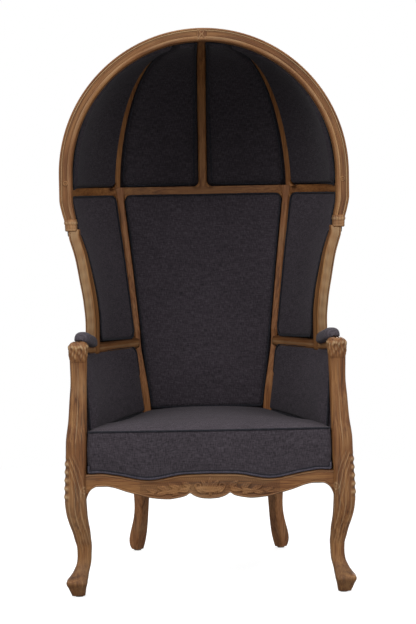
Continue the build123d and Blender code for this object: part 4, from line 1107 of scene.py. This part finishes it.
def boxedSeat():
    # rows across the chair; each goes up the front band, over the crowned top, down the back and under.
    # top z = side(y) + (mid(y) - side(y)) (1 - (|x| / half(y))^2.6)
    half, notch, base = seatValues["half"], seatValues["notch"], seatValues["base"]
    x = np.linspace(-half, half, seatValues["columns"])[:, None]
    frontY = seatValues["front"] - seatValues["bow"] * (1 - (x / seatValues["bowReach"]) ** 2)
    backLine = uprightEdge(np.array(455.0), -1)[1] + 4
    spread = (half - np.abs(x)) / (half - seatValues["backHalf"])
    backY = np.minimum(backLine, notch + spread * (backLine - notch))
    lowZ = apronEdge(apronValues["top"], x) + 1.0
    # front band: a belly between the rail and the piping, its ends drawn in at half height
    s = np.sin(np.pi * np.linspace(0, 1, seatValues["bandSteps"]))
    pull = np.sqrt(swell(half - np.abs(x), 24))
    waist = seatValues["waist"] * (1 - ease(np.abs(x), half, half - 24)) ** 2 * s * np.sign(x)
    bandZ = lowZ + (seatValues["piping"] - lowZ) * np.linspace(0, 1, seatValues["bandSteps"])
    bandY = frontY - seatValues["belly"] * s ** 0.8 * pull + 5 * (1 - pull)
    topY = frontY + 1.5 + (backY - 1.5 - frontY) * (1 - np.cos(np.linspace(0, np.pi, 60))) / 2
    sideZ, midZ = np.interp(topY, *seatValues["sideLine"]), np.interp(topY, *seatValues["midLine"])
    halfY = np.interp(topY, [-350, notch, backLine], [half, half, seatValues["backHalf"]])
    along = np.clip(np.abs(x) / halfY, 0, 1)
    topZ = sideZ + (midZ - sideZ) * (1 - along ** seatValues["crown"])
    topZ -= 7.0 * ease(along, 0.93, 1) ** 2 * (topY > -335)
    backZ = topZ[:, -1:] + (base - topZ[:, -1:]) * np.linspace(0, 1, 8)[1:]
    grid = np.concatenate([
        stack(x + waist, bandY, bandZ), stack(x, topY, topZ), stack(x, backY, backZ),
        stack(x, frontY + 26, base), stack(x, frontY + 5, lowZ)], 1)
    uv = stack(x, running(np.concatenate([grid, grid[:, :1]], 1))) * mm
    # the band is in the shade, the top in the light
    lit = [np.full(22, 0.18), np.linspace(0.2, 0.6, 4), np.linspace(0.75, 1, 8), np.ones(52), np.full(9, 0.5)]
    lit = np.tile(np.concatenate(lit), (len(x), 1))
    piece = gridPiece("seatCushion", grid * mm, linenCushion, "pad_fabric", uv, lit)
    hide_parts("seat")
    # piping along the front top edge, and the double band over the wood that turns up at the posts
    pipe = stack(x, frontY - 1.0, seatValues["piping"] + 0.5)[:, 0]
    seatWelt("seatPiping", pipe, (0, 0, 1.0), seatValues["pipingRadius"], weltCloth)
    ends = np.array([[0, 0, 18.0], [0, 0, 7.0]])
    for tag, lift, radius, cloth in seatValues["bands"]:
        path = stack(x, frontY - 1.5, lowZ + lift)[:, 0]
        path = np.concatenate([path[:1] + ends, path, path[-1:] + ends[::-1]])
        seatWelt("seatBand" + tag, resample(path, seatValues["weltSteps"]), (0, -1.0, 0), radius, cloth)


boxedSeat()

armPadValues = {
    "from": 0.045, "to": 0.36, "half": 24, "shift": -11, "high": 24, "drop": 13, "outerDrop": 4, "rings": 64,
    "round": 48,
    # share of the arm, height of the pad's middle over the arm's
    "base": ([0.045, 0.10, 0.36], [25.5, 24.5, 14.0]),
}


def armPad(tag, flip):
    # rings across the arm: a dome over its top that hangs lower as a roll on its inner side, with rounded ends
    rings = armPadValues["rings"]
    share = np.linspace(armPadValues["from"], armPadValues["to"], rings)
    size = (np.clip(1 - np.abs(np.linspace(-1, 1, rings)) ** 7.0, 0, 1) ** 0.45 * 0.96 + 0.04)[:, None, None]
    path = armAt(share)
    angle = turns(armPadValues["round"])
    c, s = np.cos(angle), np.sin(angle)
    across = np.sign(c) * np.abs(c) ** 0.8 * armPadValues["half"]
    drop = np.where(c < 0, armPadValues["drop"], armPadValues["outerDrop"])
    upper = np.sign(s) * np.abs(s) ** 0.8 * np.where(s > 0, armPadValues["high"], drop)
    base = np.interp(share, *armPadValues["base"])[:, None, None]
    grid = (path[:, None] + armSide(path)[:, None] * (across[:, None] * size + armPadValues["shift"])
            + np.array([0, 0, 1.0]) * (base + upper[:, None] * size))
    piece = gridPiece("armPad" + tag, grid * (flip, 1, 1) * mm, linenArm, "pad_fabric")
    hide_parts(snake("armPad" + tag))


for tag, flip in sides:
    armPad(tag, flip)
print("seat and arm pads made")

# Fillets that round the corners of the openings where the members cross
filletValues = {
    "reach": 17, "depth": 16, "steps": 9, "bury": 3.0, "edgeDrop": [0, -0.3, -1.0, -2.6],
    # the rail's lower line, and how far over the springing line and how deep in the upper corners lie
    "under": 1082.0, "level": 0.026, "inside": -17.0,
}


def fillet(name, corner, right, up, face, flip):
    # concave triangle in the corner between two bars: corner point, the directions along the bars' edges, the
    # face direction; the free edge is a quarter circle, x = r (1 - sin t), y = r (1 - cos t)
    right, up, face = (unit(np.array(way, float)) for way in (right, up, face))
    t = np.linspace(0, quarter, filletValues["steps"])
    edge = stack(1 - np.sin(t), 1 - np.cos(t))[:, None] * filletValues["reach"]
    steps = np.linspace(0, 1, 4)[:, None]
    flat = (edge * 0.5 - filletValues["bury"]) * (1 - steps) + edge * steps
    plan = corner + right * flat[..., :1] + up * flat[..., 1:]
    front = plan + face * np.array(filletValues["edgeDrop"])[:, None]
    grid = np.concatenate([front, (plan - face * filletValues["depth"])[:, ::-1]], 1)
    woodPiece(name, grid, woodDome, None, flip)


def crossings():
    # lower corners, under the cross rail at the upright's inner and outer edge, and upper ones, over the rail
    # beside the centre rib and outside the side rib
    backX, backY = uprightEdge(np.array(filletValues["under"]), -1)
    wingX, wingY = uprightEdge(np.array(filletValues["under"]), 1)
    down = (-0.085, -0.11, -1.0)
    corners = {
        "BackLow": ((backX - 1, backY + 1.5, line["crossLow"]), (-1.0, 0.06, 0), down, (-0.25, -1, 0)),
        "WingLow": ((wingX + 1, wingY - 1.0, line["crossLow"]), (0.62, -1.0, 0), down, (-0.8, -0.7, 0)),
    }
    level = quarter - filletValues["level"]
    higher = level - 0.04
    inside, outer = filletValues["inside"], line["ribFoot"] + line["centreRib"]
    for label, edge, lean in (("Middle", line["centreRib"], 0), ("Outer", outer, ribX(higher) - ribX(level))):
        corner = domePoint(level, turnAt(level, edge), inside)
        beside = domePoint(level, turnAt(level, edge + 14), inside)
        above = domePoint(higher, turnAt(higher, edge + lean), inside)
        face = domePoint(level, turnAt(level, edge), inside - 3)
        corners[label] = (corner, beside - corner, above - corner, face - corner)
    for tag, flip in sides:
        for label, places in corners.items():
            fillet("corner" + label + tag, *places, flip)


crossings()
print("corners rounded")

dustValues = {
    "front": -311, "back": 229.5, "frontHalf": 339.5, "backHalf": 194, "thick": 1.3, "sag": 1.0,
    # y, height: stapled higher at the front, where the rail arches
    "fall": ([-311, -290, -240, -150, 229.5], [309, 308, 300, 290.5, 289.8]),
}


def dustCloth():
    # black cloth under the seat: z falls from the front to the rails and sags by a parabola across
    front, back = dustValues["front"], dustValues["back"]
    y, across = np.linspace(front, back, 28)[:, None], np.linspace(-1, 1, 25)
    half = np.interp(y, [front, back], [dustValues["frontHalf"], dustValues["backHalf"]])
    top = stack(half * across, y, np.interp(y, *dustValues["fall"]) - dustValues["sag"] * (1 - across ** 2))
    grid = np.concatenate([top, (top - (0, 0, dustValues["thick"]))[:, ::-1]], 1)
    piece = gridPiece("dustCloth", grid * mm, dustWeave, "dust_cloth", caps="fold")
    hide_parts("dust_cover")


dustCloth()

ornamentValues = {
    # half the width and height of each kind, then how its top lies over the hoop's face and how deep it is let in
    "knot": (15, 16.5), "ring": (8, 8), "points": 33,
    "relief": 1.8, "ground": 0.6, "edgeDrop": 3.5, "sunk": 14,
}


def hoopOrnament(name, place, kind):
    # small relief on the hoop's face, a crossed ribbon or a ring with a pearl; place: its angle from the top
    wide, tall = ornamentValues[kind]
    steps = np.linspace(-1, 1, ornamentValues["points"])
    a, b = steps[:, None] * wide, steps * tall
    if kind == "knot":
        edge = ease(np.minimum(wide - np.abs(a), tall - np.abs(b)), 0, 2.5)
        relief = np.maximum(ridge(np.abs(a) - np.abs(b) * 0.6 - 1.5, 3.2), ridge(np.hypot(a, b * 0.8), 4.5))
        relief = np.maximum(relief, ridge(np.abs(b) - 13, 2.5) * 0.8)
    else:
        far = np.hypot(a, b)
        edge = ease(wide - far, 0, 1.5)
        relief = np.maximum(ridge(far - 5.5, 2.2), ridge(far, 3.0))
    drop = ornamentValues["edgeDrop"] + (ornamentValues["ground"] - ornamentValues["edgeDrop"]) * edge
    y = line["hoopY"] - mouldValues["depth"] / 2 + drop - relief * ornamentValues["relief"] * edge
    angle, radius = place + a / line["hoopMid"], line["hoopMid"] + b
    top = stack(radius * np.sin(angle), y, line["hoopCentre"] + radius * np.cos(angle))
    under = stack(top[..., 0], line["hoopY"] - ornamentValues["sunk"], top[..., 2])
    # wear with painted light and shade: the relief paler where it stands highest
    wear = np.concatenate([0.30 + relief * 0.5, 0.4 + 0 * relief], 1)
    woodPiece(name, np.concatenate([top, under[:, ::-1]], 1), carvedWood, wear, caps="fold")


hoopOrnament("hoopKnot", 0.0, "knot")
hoopOrnament("hoopRingRight", quarter + 0.05, "ring")
hoopOrnament("hoopRingLeft", -quarter - 0.05, "ring")
print("hoop ornaments made")

# Floor, light and camera

floorValues = {"radius": 9.0, "base": 0.42, "glow": 0.80, "fadeFrom": 0.7, "fadeTo": 2.2}


def paleFloor():
    # round flat floor; the camera sees it a little lit by itself, and pure white away from the chair
    rim = stack(*roundProfile(floorValues["radius"], 64).T, 0)
    mesh = bpy.data.meshes.new("studioFloor")
    mesh.from_pydata(rim.tolist(), [], [list(range(len(rim)))])
    floor = bpy.data.objects.new("studioFloor", mesh)
    bpy.context.scene.collection.objects.link(floor)
    material, tree, shader = newMaterial("paleFloor")
    seen = addNode(tree, "LightPath", {}).outputs["Is Camera Ray"]
    glow = math(tree, "MULTIPLY", seen, floorValues["glow"])
    feed(tree, shader, {
        "Base Color": (floorValues["base"],) * 3 + (1,), "Roughness": 0.9, "Specular IOR Level": 0.1,
        "Emission Color": (1, 1, 1, 1), "Emission Strength": glow})
    place = addNode(tree, "TexCoord", {}).outputs["Object"]
    reach = addNode(tree, "VectorMath", {0: place}, operation="LENGTH").outputs["Value"]
    fade = rampUp(tree, reach, floorValues["fadeFrom"], floorValues["fadeTo"])
    white = addNode(tree, "Emission", {}).outputs[0]
    both = addNode(tree, "MixShader", {0: math(tree, "MULTIPLY", seen, fade), 1: shader.outputs[0], 2: white})
    feed(tree, tree.nodes["Material Output"], {"Surface": both.outputs[0]})
    mesh.materials.append(material)


paleFloor()

lampValues = {
    # place, size and power; each points at the chair's middle
    "key": ((-2.6, -3.4, 3.6), 2.6, 120),
    "fill": ((2.9, -3.0, 2.6), 2.6, 72),
    "top": ((0.0, 0.3, 4.2), 3.0, 74),
    "front": ((0.0, -5.4, 1.9), 2.4, 20),
    "rear": ((1.6, 4.4, 2.8), 2.6, 120),
}
for name, (place, size, power) in lampValues.items():
    lamp = bpy.data.lights.new(name, "AREA")
    lamp.shape = "DISK"
    lamp.size = size
    lamp.energy = power
    holder = bpy.data.objects.new(name, lamp)
    holder.location = place
    holder.rotation_euler = (Vector((0, 0, 0.75)) - Vector(place)).to_track_quat("-Z", "Y").to_euler()
    bpy.context.scene.collection.objects.link(holder)


def paleRoom():
    # dim light from all round, while the camera and glossy surfaces see plain white
    world = bpy.data.worlds.new("paleRoom")
    world.use_nodes = True
    bpy.context.scene.world = world
    tree = world.node_tree
    dim = feed(tree, tree.nodes["Background"], {"Color": (1, 1, 1, 1), "Strength": 0.32})
    bright = addNode(tree, "Background", {"Color": (1, 1, 1, 1), "Strength": 1.0})
    seen = addNode(tree, "LightPath", {}).outputs
    choice = math(tree, "MAXIMUM", seen["Is Camera Ray"], seen["Is Glossy Ray"])
    both = addNode(tree, "MixShader", {0: choice, 1: dim.outputs[0], 2: bright.outputs[0]})
    feed(tree, tree.nodes["World Output"], {"Surface": both.outputs[0]})


paleRoom()

cameraValues = {"place": (-0.0425, -5.3473, 1.101), "pitch": 3.70, "yaw": -0.52, "roll": 1.014, "lens": 106.5}
camera = bpy.data.cameras.new("camera")
camera.sensor_fit = "VERTICAL"
camera.sensor_height = 36
camera.lens = cameraValues["lens"]
cameraHolder = bpy.data.objects.new("camera", camera)
turn = (Matrix.Rotation(np.radians(cameraValues["yaw"]), 4, "Z")
        @ Matrix.Rotation(np.radians(90 - cameraValues["pitch"]), 4, "X")
        @ Matrix.Rotation(np.radians(-cameraValues["roll"]), 4, "Z"))
cameraHolder.matrix_world = Matrix.Translation(cameraValues["place"]) @ turn
bpy.context.scene.collection.objects.link(cameraHolder)
bpy.context.scene.camera = cameraHolder

bpy.context.scene.view_settings.view_transform = "Standard"
print("stage, lamps and camera set")
